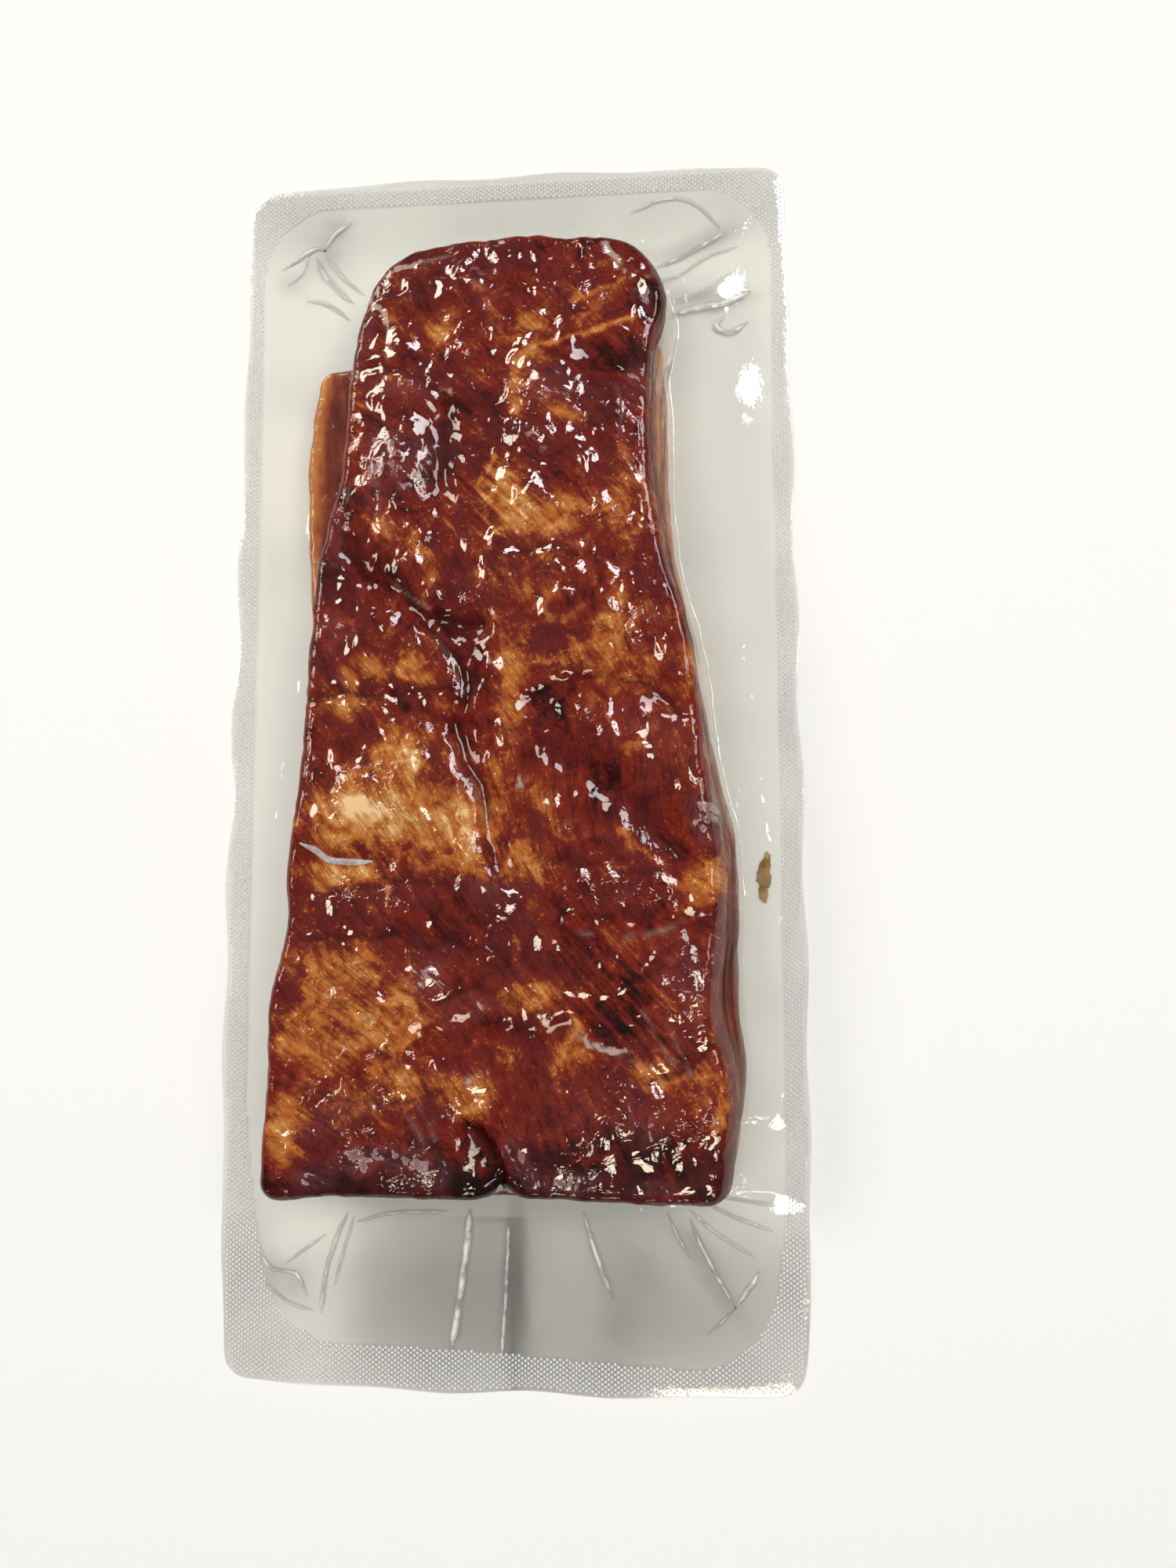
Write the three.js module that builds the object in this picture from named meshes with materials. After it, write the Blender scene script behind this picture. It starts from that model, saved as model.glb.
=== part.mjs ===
import * as THREE from 'three';

// Vacuum pack of smoked bacon: a clear film bag drawn down on two stacked slabs, rib side up.
// Millimetres, +Z up. The pack lies on z = 0 with +Y towards the round end of the meat.

// Driving dimensions of the bag
const BAG_WIDTH = 194;
const BAG_LENGTH = 409;
const BAG_CORNER = 8;
const FILM = 0.9;
const SKIRT_HEIGHT = 12;
const CLEARANCE = 0.6;
const BULGE_SIDE = 3.4;
const BULGE_END = 2.6;
const EDGE_RIPPLE = 0.8;
const RIPPLE_LENGTH = 58;
const EDGE_LIFT = 2.2;
const EDGE_WAVES = 17;
const FOOT_FLAT = 5;

// Driving dimensions of the two slabs
const LOWER_TOP = 14;
const LAYER_GAP = 0.6;
const DROOP_START = 2.5;
const DROOP_RUN = 12;
const SLAB_SQUARENESS = 5;
const BOW_RUN = 26;

// Waist of the upper slab at mid height, front to back: [y, left x, right x]
const UPPER_SIDES = [
  [-142, -73, 68],
  [-120, -72, 70.5],
  [-103, -70.3, 71.5],
  [-82, -70.3, 67.3],
  [-53, -64.6, 69],
  [-36, -65.6, 69.2],
  [-8, -61.8, 65.4],
  [32, -59.4, 61],
  [60, -57, 53.2],
  [86, -50.6, 49.7],
  [124, -48.2, 49.5],
  [145, -44.5, 53.6],
  [170, -37, 45.5],
];

// Waist of the lower slab, which is wider and ends sooner: [y, left x, right x]
const LOWER_SIDES = [
  [-146, -75, 69],
  [-120, -74.5, 73.5],
  [-100, -73.5, 75.5],
  [-80, -73, 73.5],
  [-52, -67.5, 74],
  [-30, -68, 73.3],
  [0, -64, 66.5],
  [40, -65, 59.5],
  [75, -67, 53.4],
  [100, -67.2, 53],
  [138, -63, 51.5],
];

// Crown line of the upper slab, front to back: [y, height above the table]
const CROWN = [
  [-142, 32.5],
  [-100, 34.5],
  [-40, 35],
  [20, 34.5],
  [80, 33.5],
  [125, 31.5],
  [150, 28],
  [170, 24.5],
];

// Humps over rib ends and muscles: [x, y, half length along, half width across, turn in degrees, height]
const HUMPS = [
  [-32, 90, 15, 12, 80, 2.4],
  [18, 113, 10, 8, 0, 2.2],
  [-30, 113, 10, 7, 0, 1.6],
  [-31, 129, 6, 5, 90, 1.8],
  [-4, 149, 26, 8, 0, 1.6],
  [49, 145, 7, 4, 80, 1.6],
  [10, 97, 6, 5, 0, 2.6],
  [9, 80, 8, 6, 0, 1.5],
  [0, 62, 4, 4, 0, 1.8],
  [22, 47, 17, 13, 20, 1.8],
  [-38, 38, 13, 9, -20, 1.2],
  [-29, -17, 23, 14, 0, 3.2],
  [36, 1, 20, 13, -10, 1.6],
  [-2, 23, 5, 4, 90, 1.6],
  [-9, 14, 8, 4, -10, 2],
  [-6, -34, 6, 5, 0, 2],
  [0, -47, 8, 6, 0, 2.6],
  [-30, -50, 22, 7, 0, 1.4],
  [-20, -70, 6, 5, 0, 2],
  [-44, -80, 19, 11, 0, 1.8],
  [12, -78, 11, 8, 0, 1.8],
  [57, -72, 14, 9, -60, 2.4],
  [-7, -101, 7, 5, 0, 2.6],
  [-45, -111, 14, 9, 0, 1.6],
  [36, -111, 22, 11, 0, 1.6],
  [-32, -129, 22, 6, 0, 1.4],
];

// Clefts between muscles and ribs: half width, depth, and the line that the cleft follows
const CLEFTS = [
  { wide: 4.2, deep: 2.6, line: [[-48, 63], [-34, 49], [-22, 40], [-5, 37]] },
  { wide: 4.2, deep: 2.2, line: [[-8, 34], [-8, 18], [-12, 6], [-7, -6], [0, -18], [1, -36]] },
  { wide: 4.5, deep: 2.6, line: [[-17, 105], [-17, 92], [-18, 80]] },
  { wide: 5, deep: 2.2, line: [[30, 124], [43, 119], [49, 112]] },
  { wide: 4.5, deep: 1.7, line: [[12, 13], [28, 18], [45, 16], [60, 10]] },
  { wide: 5, deep: 1.8, line: [[18, -2], [30, -10], [46, -22], [62, -38]] },
  { wide: 4.5, deep: 1.6, line: [[-62, -33], [-50, -36], [-36, -36]] },
  { wide: 5, deep: 1.8, line: [[-20, -90], [-4, -86], [12, -90], [24, -86]] },
  { wide: 4.5, deep: 1.5, line: [[24, -59], [42, -60], [62, -57]] },
  { wide: 4.5, deep: 3.8, line: [[-6, -117], [1, -127], [4, -143]] },
];

// Tucks pressed into the film round the meat: half width, height, and the line of the tuck
const TUCKS = [
  { wide: 4, high: 1.8, line: [[-13, -150], [-18, -190]] },
  { wide: 3.5, high: 1.3, line: [[0, -150], [-2, -195]] },
  { wide: 4, high: 1.7, line: [[24, -150], [33, -174]] },
  { wide: 4, high: 1.6, line: [[52, -152], [72, -176], [80, -165]] },
  { wide: 4, high: 1.5, line: [[-54, -152], [-61, -178]] },
  { wide: 4, high: 1.5, line: [[-82, -162], [-72, -170], [-66, -177]] },
  { wide: 4, high: 1.8, line: [[-80, 176], [-66, 177], [-58, 188]] },
  { wide: 4, high: 1.8, line: [[54, 165], [62, 172], [74, 178]] },
  { wide: 4, high: 1.4, line: [[58, 151], [70, 154], [81, 158]] },
];

// Colours and finish
const FILM_LOOK = new THREE.MeshStandardMaterial({
  color: 0xd2cfc6,
  roughness: 0.14,
  metalness: 0,
  transparent: true,
  opacity: 0.4,
});
const BACON_LOOK = new THREE.MeshStandardMaterial({ color: 0x6e2a18, roughness: 0.34, metalness: 0 });
const RIND_LOOK = new THREE.MeshStandardMaterial({ color: 0xa45a20, roughness: 0.4, metalness: 0 });

const { clamp, lerp, smoothstep, degToRad } = THREE.MathUtils;

// Value of one column of a table at a place along it, on a smooth curve through its rows
function through(table, column, place) {
  const last = table.length - 1;
  let i = 0;
  while (i < last - 1 && place > table[i + 1][0]) {
    i += 1;
  }
  const slope = (k) => {
    const before = table[Math.max(k - 1, 0)];
    const after = table[Math.min(k + 1, last)];
    return (after[column] - before[column]) / (after[0] - before[0]);
  };
  const span = table[i + 1][0] - table[i][0];
  const t = clamp((place - table[i][0]) / span, 0, 1);
  const rise = 3 * t * t - 2 * t * t * t;
  const leave = t * t * t - 2 * t * t + t;
  const arrive = t * t * t - t * t;
  return lerp(table[i][column], table[i + 1][column], rise)
    + span * (slope(i) * leave + slope(i + 1) * arrive);
}

// Shortest distance from a point to a broken line
function distanceTo(line, x, y) {
  let best = Infinity;
  for (let i = 0; i + 1 < line.length; i += 1) {
    const [ax, ay] = line[i];
    const dx = line[i + 1][0] - ax;
    const dy = line[i + 1][1] - ay;
    const t = clamp(((x - ax) * dx + (y - ay) * dy) / (dx * dx + dy * dy), 0, 1);
    best = Math.min(best, Math.hypot(x - ax - t * dx, y - ay - t * dy));
  }
  return best;
}

const bell = (distance) => Math.exp(-distance * distance);

// Relief of the rib side: humps add height, clefts take it away
function relief(x, y) {
  let height = 0;
  for (const [hx, hy, along, across, turn, high] of HUMPS) {
    const angle = degToRad(turn);
    const u = ((x - hx) * Math.cos(angle) + (y - hy) * Math.sin(angle)) / along;
    const v = ((y - hy) * Math.cos(angle) - (x - hx) * Math.sin(angle)) / across;
    height += high * bell(Math.hypot(u, v));
  }
  for (const { wide, deep, line } of CLEFTS) {
    height -= deep * bell(distanceTo(line, x, y) / wide);
  }
  return height;
}

// How far a rounded end is drawn in, at a distance from its outermost line
function drawnIn(radius, distance) {
  if (distance >= radius) {
    return 0;
  }
  return radius - Math.sqrt(radius * radius - (radius - distance) ** 2);
}

// The lower slab was cut slightly askew at the back
const lowerBackEdge = (x) => 134.5 + 0.07 * x;

// Upper slab: droops over the back edge of the lower one
const UPPER = {
  front: -137,
  back: 169.5,
  cornerFront: 7,
  cornerBack: 14,
  rimFront: 7,
  rimBack: 7,
  left: (y) => through(UPPER_SIDES, 1, y),
  right: (y) => through(UPPER_SIDES, 2, y),
  leanLeft: () => 1.5,
  leanRight: (y) => 5 * smoothstep(20 - y, 0, 50),
  bowFront: (x) => 0.5 * Math.sin(x / 9) - 1.2 * (x / 65) ** 2 + 4 * bell((x - 3) / 4),
  bowBack: (x) => -5.5 * (Math.min(x - 8, 0) / 45) ** 2 - 1.5 * smoothstep(x, 10, 20)
    - (Math.max(x - 20, 0) / 20) ** 2,
  top: (x, y) => through(CROWN, 1, y) + relief(x, y),
  bottom: (x, y) => {
    const past = (y - lowerBackEdge(x) - DROOP_START) / DROOP_RUN;
    const floor = FILM + CLEARANCE;
    return lerp(LOWER_TOP + LAYER_GAP, floor, smoothstep(past, 0, 1));
  },
};

// Lower slab: a plain plate whose rind side shows along the left of the stack
const LOWER = {
  front: -141,
  back: 134.5,
  cornerFront: 6,
  cornerBack: 4,
  rimFront: 4,
  rimBack: 3,
  left: (y) => through(LOWER_SIDES, 1, y),
  right: (y) => through(LOWER_SIDES, 2, y),
  leanLeft: () => 1,
  leanRight: () => 1.5,
  bowFront: (x) => 0.8 * Math.sin(x / 11 + 1),
  bowBack: (x) => lowerBackEdge(x) - lowerBackEdge(0),
  top: () => LOWER_TOP,
  bottom: () => FILM + CLEARANCE,
};

// Shift of a slab's section along the stack, which bends its two end lines in plan
function bow(slab, x, y) {
  const bendFront = 1 - smoothstep(y - slab.front, 0, BOW_RUN);
  const bendBack = 1 - smoothstep(slab.back - y, 0, BOW_RUN);
  return slab.bowFront(x) * bendFront + slab.bowBack(x) * bendBack;
}

// Places round a slab's section: [across from -1 to 1, up from -1 to 1]
function sectionRound(topPoints, bottomPoints) {
  const shoulder = 0.95;
  const waist = 0.4;
  const rounded = (a) => (1 - Math.abs(a) ** SLAB_SQUARENESS) ** (1 / SLAB_SQUARENESS);
  const places = [];
  for (let i = 0; i <= topPoints; i += 1) {
    const across = shoulder * (2 * i / topPoints - 1);
    places.push([across, rounded(across)]);
  }
  places.push([rounded(waist), waist], [rounded(waist), -waist]);
  for (let i = bottomPoints; i >= 0; i -= 1) {
    const across = shoulder * (2 * i / bottomPoints - 1);
    places.push([across, -rounded(across)]);
  }
  places.push([-rounded(waist), -waist], [-rounded(waist), waist]);
  return places;
}

// Distances of a slab's sections from one of its ends, closer together where the end is round
function endRows(radius, rows) {
  const distances = [];
  for (let i = 0; i < rows; i += 1) {
    distances.push(radius * (1 - Math.cos(i / rows * Math.PI / 2)));
  }
  return distances;
}

// One closed slab, lofted from front to back
function slabGeometry(slab, { rows, topPoints, bottomPoints }) {
  const reachFront = Math.max(slab.cornerFront, slab.rimFront);
  const reachBack = Math.max(slab.cornerBack, slab.rimBack);
  const roundRows = 4;
  const stations = endRows(reachFront, roundRows).map((d) => slab.front + d);
  const plainLength = slab.back - reachBack - slab.front - reachFront;
  for (let i = 0; i <= rows; i += 1) {
    stations.push(slab.front + reachFront + plainLength * i / rows);
  }
  stations.push(...endRows(reachBack, roundRows).reverse().map((d) => slab.back - d));

  const places = sectionRound(topPoints, bottomPoints);
  const positions = [];
  for (const y of stations) {
    const fromFront = y - slab.front;
    const fromBack = slab.back - y;
    const corner = drawnIn(slab.cornerFront, fromFront) + drawnIn(slab.cornerBack, fromBack);
    const rim = drawnIn(slab.rimFront, fromFront) + drawnIn(slab.rimBack, fromBack);
    const left = slab.left(y) + corner;
    const right = slab.right(y) - corner;
    for (const [across, up] of places) {
      const x = (left + right) / 2 + across * (right - left) / 2;
      const top = slab.top(x, y);
      const bottom = slab.bottom(x, y);
      const z = (top + bottom) / 2 + up * ((top - bottom) / 2 - rim);
      const lean = across > 0 ? slab.leanRight(y) : slab.leanLeft(y);
      positions.push(
        x - lean * across * Math.abs(across) * up / 2,
        y + bow(slab, x, y),
        z,
      );
    }
  }
  return closedLoft(positions, stations.length, places.length);
}

// Triangles that join one ring of points to the next
function joinedRings(rings, round) {
  const indices = [];
  for (let r = 0; r + 1 < rings; r += 1) {
    for (let i = 0; i < round; i += 1) {
      const a = r * round + i;
      const b = r * round + (i + 1) % round;
      indices.push(a, b, a + round, b, b + round, a + round);
    }
  }
  return indices;
}

function meshOf(positions, indices) {
  const geometry = new THREE.BufferGeometry();
  geometry.setAttribute('position', new THREE.Float32BufferAttribute(positions, 3));
  geometry.setIndex(indices);
  geometry.computeVertexNormals();
  return geometry;
}

// Rings of points made a closed skin, with a fan over each end ring
function closedLoft(positions, rings, round) {
  const indices = joinedRings(rings, round);
  for (const ring of [0, rings - 1]) {
    const centre = positions.length / 3;
    const sum = [0, 0, 0];
    for (let i = 0; i < round; i += 1) {
      for (let k = 0; k < 3; k += 1) {
        sum[k] += positions[(ring * round + i) * 3 + k];
      }
    }
    positions.push(sum[0] / round, sum[1] / round, sum[2] / round);
    for (let i = 0; i < round; i += 1) {
      const a = ring * round + i;
      const b = ring * round + (i + 1) % round;
      indices.push(centre, ...(ring === 0 ? [b, a] : [a, b]));
    }
  }
  return meshOf(positions, indices);
}

// Whether a place in plan lies under a slab
function underSlab(slab, x, y) {
  let bowed = y;
  const passes = 4;
  for (let i = 0; i < passes; i += 1) {
    bowed = y - bow(slab, x, bowed);
  }
  if (bowed < slab.front || bowed > slab.back) {
    return false;
  }
  const cornerFront = drawnIn(slab.cornerFront, bowed - slab.front);
  const cornerBack = drawnIn(slab.cornerBack, slab.back - bowed);
  const corner = cornerFront + cornerBack;
  const left = slab.left(bowed) + corner - slab.leanLeft(bowed) / 2;
  const right = slab.right(bowed) - corner + slab.leanRight(bowed) / 2;
  return x > left && x < right;
}

// Edge of the bag, anticlockwise from the front right corner, each side bulging and rippling
function bagEdge() {
  const halfWidth = BAG_WIDTH / 2 - BULGE_SIDE;
  const halfLength = BAG_LENGTH / 2 - BULGE_END;
  const frontLeft = [-halfWidth, -halfLength];
  const frontRight = [halfWidth, -halfLength];
  const backRight = [halfWidth, halfLength];
  const backLeft = [-halfWidth, halfLength];
  const arcSteps = 4;

  // How late along its side each bulge is fullest
  const sides = [
    { steps: 40, from: frontRight, to: backRight, bulge: BULGE_SIDE, late: 0.55 },
    { steps: 20, from: backRight, to: backLeft, bulge: BULGE_END, late: 1.2 },
    { steps: 40, from: backLeft, to: frontLeft, bulge: BULGE_SIDE, late: 1.8 },
    { steps: 20, from: frontLeft, to: frontRight, bulge: BULGE_END, late: 0.9 },
  ];
  const points = [];
  for (const { steps, from, to, bulge, late } of sides) {
    const start = new THREE.Vector2(...from);
    const along = new THREE.Vector2(...to).sub(start);
    const length = along.length();
    along.normalize();
    const out = new THREE.Vector2(along.y, -along.x);
    const waves = 2 * Math.PI * length / RIPPLE_LENGTH;
    for (let i = 0; i <= steps; i += 1) {
      const t = i / steps;
      const ripple = EDGE_RIPPLE * Math.sin(waves * t) * Math.sin(Math.PI * t);
      const push = (bulge - EDGE_RIPPLE) * Math.sin(Math.PI * t ** late) + ripple;
      const place = BAG_CORNER + (length - 2 * BAG_CORNER) * t;
      points.push([
        start.x + along.x * place + out.x * push,
        start.y + along.y * place + out.y * push,
      ]);
    }
    const turn = Math.atan2(out.y, out.x);
    const centreX = to[0] - (along.x + out.x) * BAG_CORNER;
    const centreY = to[1] - (along.y + out.y) * BAG_CORNER;
    for (let k = 1; k < arcSteps; k += 1) {
      const angle = turn + k / arcSteps * Math.PI / 2;
      points.push([
        centreX + BAG_CORNER * Math.cos(angle),
        centreY + BAG_CORNER * Math.sin(angle),
      ]);
    }
  }
  return centred(points);
}

// Moves and stretches an outline so that it spans the bag's width and length about the origin
function centred(points) {
  const spans = [BAG_WIDTH, BAG_LENGTH];
  const low = [0, 1].map((k) => Math.min(...points.map((p) => p[k])));
  const high = [0, 1].map((k) => Math.max(...points.map((p) => p[k])));
  return points.map((p) => p.map((value, k) => (
    ((value - low[k]) / (high[k] - low[k]) - 0.5) * spans[k]
  )));
}

// Bag: base web under the meat, flat border with lifted edges, and a skirt up the sides of the meat
function bagGeometry() {
  const spine = 112;
  const quarters = [0, 0.25, 0.5, 0.75, 1];
  const edge = bagEdge();
  const count = edge.length;

  // One ray from the middle line of the bag to each point of its edge
  const ray = ([x, y]) => {
    const from = new THREE.Vector2(0, clamp(y, -spine, spine));
    const direction = new THREE.Vector2(x, y).sub(from);
    const length = direction.length();
    direction.divideScalar(length);
    return { from, direction, length };
  };
  const rays = edge.map(ray);

  // Where a ray leaves the meat
  const leaves = ({ from, direction, length }) => {
    let inside = 0;
    let outside = length;
    const halvings = 20;
    for (let i = 0; i < halvings; i += 1) {
      const middle = (inside + outside) / 2;
      const place = from.clone().addScaledVector(direction, middle);
      if (underSlab(UPPER, place.x, place.y) || underSlab(LOWER, place.x, place.y)) {
        inside = middle;
      } else {
        outside = middle;
      }
    }
    return inside;
  };

  // The film bridges small hollows, so it stands off as far as the meat reaches near each ray
  const foot = rays.map((_, i) => {
    const here = edge[i];
    let reach = 0;
    for (const next of [edge[(i + count - 1) % count], edge[(i + 1) % count]]) {
      for (const share of quarters) {
        const target = [lerp(here[0], next[0], share), lerp(here[1], next[1], share)];
        reach = Math.max(reach, leaves(ray(target)));
      }
    }
    return reach + CLEARANCE + 0.2;
  });

  // Lift of the film off the table, none near the meat and waving at the edge
  const lift = (i, x, y, outward) => {
    const wave = 0.5 + 0.5 * Math.sin(i / count * 2 * Math.PI * EDGE_WAVES);
    let height = EDGE_LIFT * wave * outward ** 2;
    for (const { wide, high, line } of TUCKS) {
      height += high * bell(distanceTo(line, x, y) / wide) * smoothstep(outward, 0, 0.25);
    }
    return height;
  };

  // Rings of the film: distance beyond the meat (mm), share of the way to the edge, height, and lift
  const rings = [
    { beyond: -8, share: 0, height: 0, lifted: false },
    { beyond: FOOT_FLAT, share: 0, height: 0, lifted: false },
    { beyond: 0, share: 0.33, height: 0, lifted: true },
    { beyond: 0, share: 0.66, height: 0, lifted: true },
    { beyond: 0, share: 1, height: 0, lifted: true },
    { beyond: 0, share: 1, height: FILM, lifted: true },
    { beyond: 0, share: 0.83, height: FILM, lifted: true },
    { beyond: 0, share: 0.66, height: FILM, lifted: true },
    { beyond: 0, share: 0.5, height: FILM, lifted: true },
    { beyond: 0, share: 0.33, height: FILM, lifted: true },
    { beyond: FOOT_FLAT, share: 0, height: FILM, lifted: false },
    { beyond: 2.2, share: 0, height: FILM + 1.6, lifted: false },
    { beyond: FILM + 0.2, share: 0, height: SKIRT_HEIGHT * 0.5, lifted: false },
    { beyond: FILM, share: 0, height: SKIRT_HEIGHT, lifted: false },
    { beyond: 0, share: 0, height: SKIRT_HEIGHT, lifted: false },
    { beyond: 0, share: 0, height: FILM, lifted: false },
  ];
  const positions = [];
  for (const ring of rings) {
    rays.forEach((ray, i) => {
      const room = ray.length - foot[i];
      const reach = foot[i] + (ring.share > 0 ? room * ring.share : ring.beyond);
      const x = ray.from.x + ray.direction.x * reach;
      const y = ray.from.y + ray.direction.y * reach;
      const outward = clamp((reach - foot[i] - FOOT_FLAT) / (room - FOOT_FLAT), 0, 1);
      const raised = ring.lifted ? lift(i, x, y, outward) : 0;
      positions.push(x, y, ring.height + raised);
    });
  }
  return filledRings(positions, rings.length, count);
}

// Rings of points made a closed skin, with the first and last ring filled flat
function filledRings(positions, rings, round) {
  const indices = joinedRings(rings, round);
  for (const ring of [0, rings - 1]) {
    const contour = [];
    for (let i = 0; i < round; i += 1) {
      const at = (ring * round + i) * 3;
      contour.push(new THREE.Vector2(positions[at], positions[at + 1]));
    }
    for (const face of THREE.ShapeUtils.triangulateShape(contour, [])) {
      const [a, b, c] = face.map((i) => ring * round + i);
      indices.push(...(ring === 0 ? [a, c, b] : [a, b, c]));
    }
  }
  return meshOf(positions, indices);
}

function piece(name, geometry, material) {
  const mesh = new THREE.Mesh(geometry, material);
  mesh.name = name;
  return mesh;
}

const group = new THREE.Group();
group.add(piece('vacuum_bag', bagGeometry(), FILM_LOOK));
const lowerSlab = slabGeometry(LOWER, { rows: 28, topPoints: 10, bottomPoints: 8 });
group.add(piece('bacon_lower', lowerSlab, RIND_LOOK));
const upperSlab = slabGeometry(UPPER, { rows: 58, topPoints: 32, bottomPoints: 10 });
group.add(piece('bacon_upper', upperSlab, BACON_LOOK));

export default group;
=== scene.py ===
"""Vacuum pack of smoked bacon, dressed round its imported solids: meat, film, seal and trapped air."""

import math

import bpy
import numpy as np
from mathutils import Matrix, Vector
from mathutils.bvhtree import BVHTree
from mathutils.geometry import tessellate_polygon


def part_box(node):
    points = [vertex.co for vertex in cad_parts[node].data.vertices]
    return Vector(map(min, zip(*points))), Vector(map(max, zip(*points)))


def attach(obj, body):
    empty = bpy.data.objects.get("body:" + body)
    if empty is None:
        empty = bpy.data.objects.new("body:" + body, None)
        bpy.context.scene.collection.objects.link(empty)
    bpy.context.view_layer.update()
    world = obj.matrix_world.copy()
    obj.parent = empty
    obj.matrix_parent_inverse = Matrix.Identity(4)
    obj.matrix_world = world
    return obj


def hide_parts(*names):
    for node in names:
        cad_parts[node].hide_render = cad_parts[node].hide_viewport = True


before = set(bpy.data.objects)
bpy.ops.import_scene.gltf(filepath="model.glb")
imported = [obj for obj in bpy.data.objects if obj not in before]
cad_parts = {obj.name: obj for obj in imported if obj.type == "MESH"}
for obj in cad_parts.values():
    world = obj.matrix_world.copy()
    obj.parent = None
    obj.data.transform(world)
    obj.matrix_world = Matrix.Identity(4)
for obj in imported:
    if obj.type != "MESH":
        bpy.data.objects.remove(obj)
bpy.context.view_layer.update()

bl_info = {
    "name": "Bacon Pack",
    "version": (1, 0, 0),
    "blender": (4, 5, 0),
    "location": "View3D > Sidebar > Bacon Pack",
    "description": "Builds a vacuum pack of smoked bacon round its packed solids",
    "category": "Add Mesh",
}

# Forms are worked out in millimetres and meshed in metres
MM = 0.001
BAG_LOW, BAG_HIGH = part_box("vacuum_bag")
LOWER_LOW, LOWER_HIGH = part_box("bacon_lower")
BAG_WIDTH = (BAG_HIGH.x - BAG_LOW.x) / MM
BAG_LENGTH = (BAG_HIGH.y - BAG_LOW.y) / MM
LOWER_TOP = LOWER_HIGH.z / MM
MEAT_FLOOR = LOWER_LOW.z / MM
ABOVE_PACK = 0.1

# The bag's outline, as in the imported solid
BAG_CORNER = 8
BULGE_SIDE = 3.4
BULGE_END = 2.6
EDGE_RIPPLE = 0.8
RIPPLE_LENGTH = 58
EDGE_LIFT = 2.2
EDGE_WAVES = 17
LAYER_GAP = 0.6
DROOP_START = 2.5
DROOP_RUN = 12
BOW_RUN = 26

# Waist of the upper slab at mid height, front to back: y, left x, right x
UPPER_SIDES = np.array([
    [-142, -73, 68], [-120, -72, 70.5], [-103, -70.3, 71.5], [-82, -70.3, 67.3],
    [-53, -64.6, 69], [-36, -65.6, 69.2], [-8, -61.8, 65.4], [32, -59.4, 61],
    [60, -57, 53.2], [86, -50.6, 49.7], [124, -48.2, 49.5], [145, -44.5, 53.6], [170, -37, 45.5],
])

# Waist of the lower slab: y, left x, right x
LOWER_SIDES = np.array([
    [-146, -75, 69], [-120, -74.5, 73.5], [-100, -73.5, 75.5], [-80, -73, 73.5], [-52, -67.5, 74],
    [-30, -68, 73.3], [0, -64, 66.5], [40, -65, 59.5], [75, -67, 53.4], [100, -67.2, 53], [138, -63, 51.5],
])

# Crown line of the upper slab: y, height above the table
CROWN = np.array([
    [-142, 32.5], [-100, 34.5], [-40, 35], [20, 34.5], [80, 33.5], [125, 31.5], [150, 28], [170, 24.5],
])

# Humps over rib ends and muscles: x, y, half length, half width, turn in degrees, height
HUMPS = [
    (-32, 90, 15, 12, 80, 2.4), (18, 113, 10, 8, 0, 2.2), (-30, 113, 10, 7, 0, 1.6),
    (-31, 129, 6, 5, 90, 1.8), (-4, 149, 26, 8, 0, 1.6), (49, 145, 7, 4, 80, 1.6), (10, 97, 6, 5, 0, 2.6),
    (9, 80, 8, 6, 0, 1.5),
    (0, 62, 4, 4, 0, 1.8), (22, 47, 17, 13, 20, 1.8), (-38, 38, 13, 9, -20, 1.2),
    (-29, -17, 23, 14, 0, 3.2), (36, 1, 20, 13, -10, 1.6), (-2, 23, 5, 4, 90, 1.6),
    (-9, 14, 8, 4, -10, 2), (-6, -34, 6, 5, 0, 2), (0, -47, 8, 6, 0, 2.6), (-30, -50, 22, 7, 0, 1.4),
    (-20, -70, 6, 5, 0, 2), (-44, -80, 19, 11, 0, 1.8), (12, -78, 11, 8, 0, 1.8),
    (57, -72, 14, 9, -60, 2.4), (-7, -101, 7, 5, 0, 2.6), (-45, -111, 14, 9, 0, 1.6),
    (36, -111, 22, 11, 0, 1.6), (-32, -129, 22, 6, 0, 1.4),
]

# Clefts between muscles and ribs: half width, depth, line
CLEFTS = [
    (4.2, 2.6, [(-48, 63), (-34, 49), (-22, 40), (-5, 37)]),
    (4.2, 2.2, [(-8, 34), (-8, 18), (-12, 6), (-7, -6), (0, -18), (1, -36)]),
    (4.5, 2.6, [(-17, 105), (-17, 92), (-18, 80)]),
    (5, 2.2, [(30, 124), (43, 119), (49, 112)]),
    (4.5, 1.7, [(12, 13), (28, 18), (45, 16), (60, 10)]),
    (5, 1.8, [(18, -2), (30, -10), (46, -22), (62, -38)]),
    (4.5, 1.6, [(-62, -33), (-50, -36), (-36, -36)]),
    (5, 1.8, [(-20, -90), (-4, -86), (12, -90), (24, -86)]),
    (4.5, 1.5, [(24, -59), (42, -60), (62, -57)]),
    (4.5, 3.8, [(-6, -117), (1, -127), (4, -143)]),
]

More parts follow.
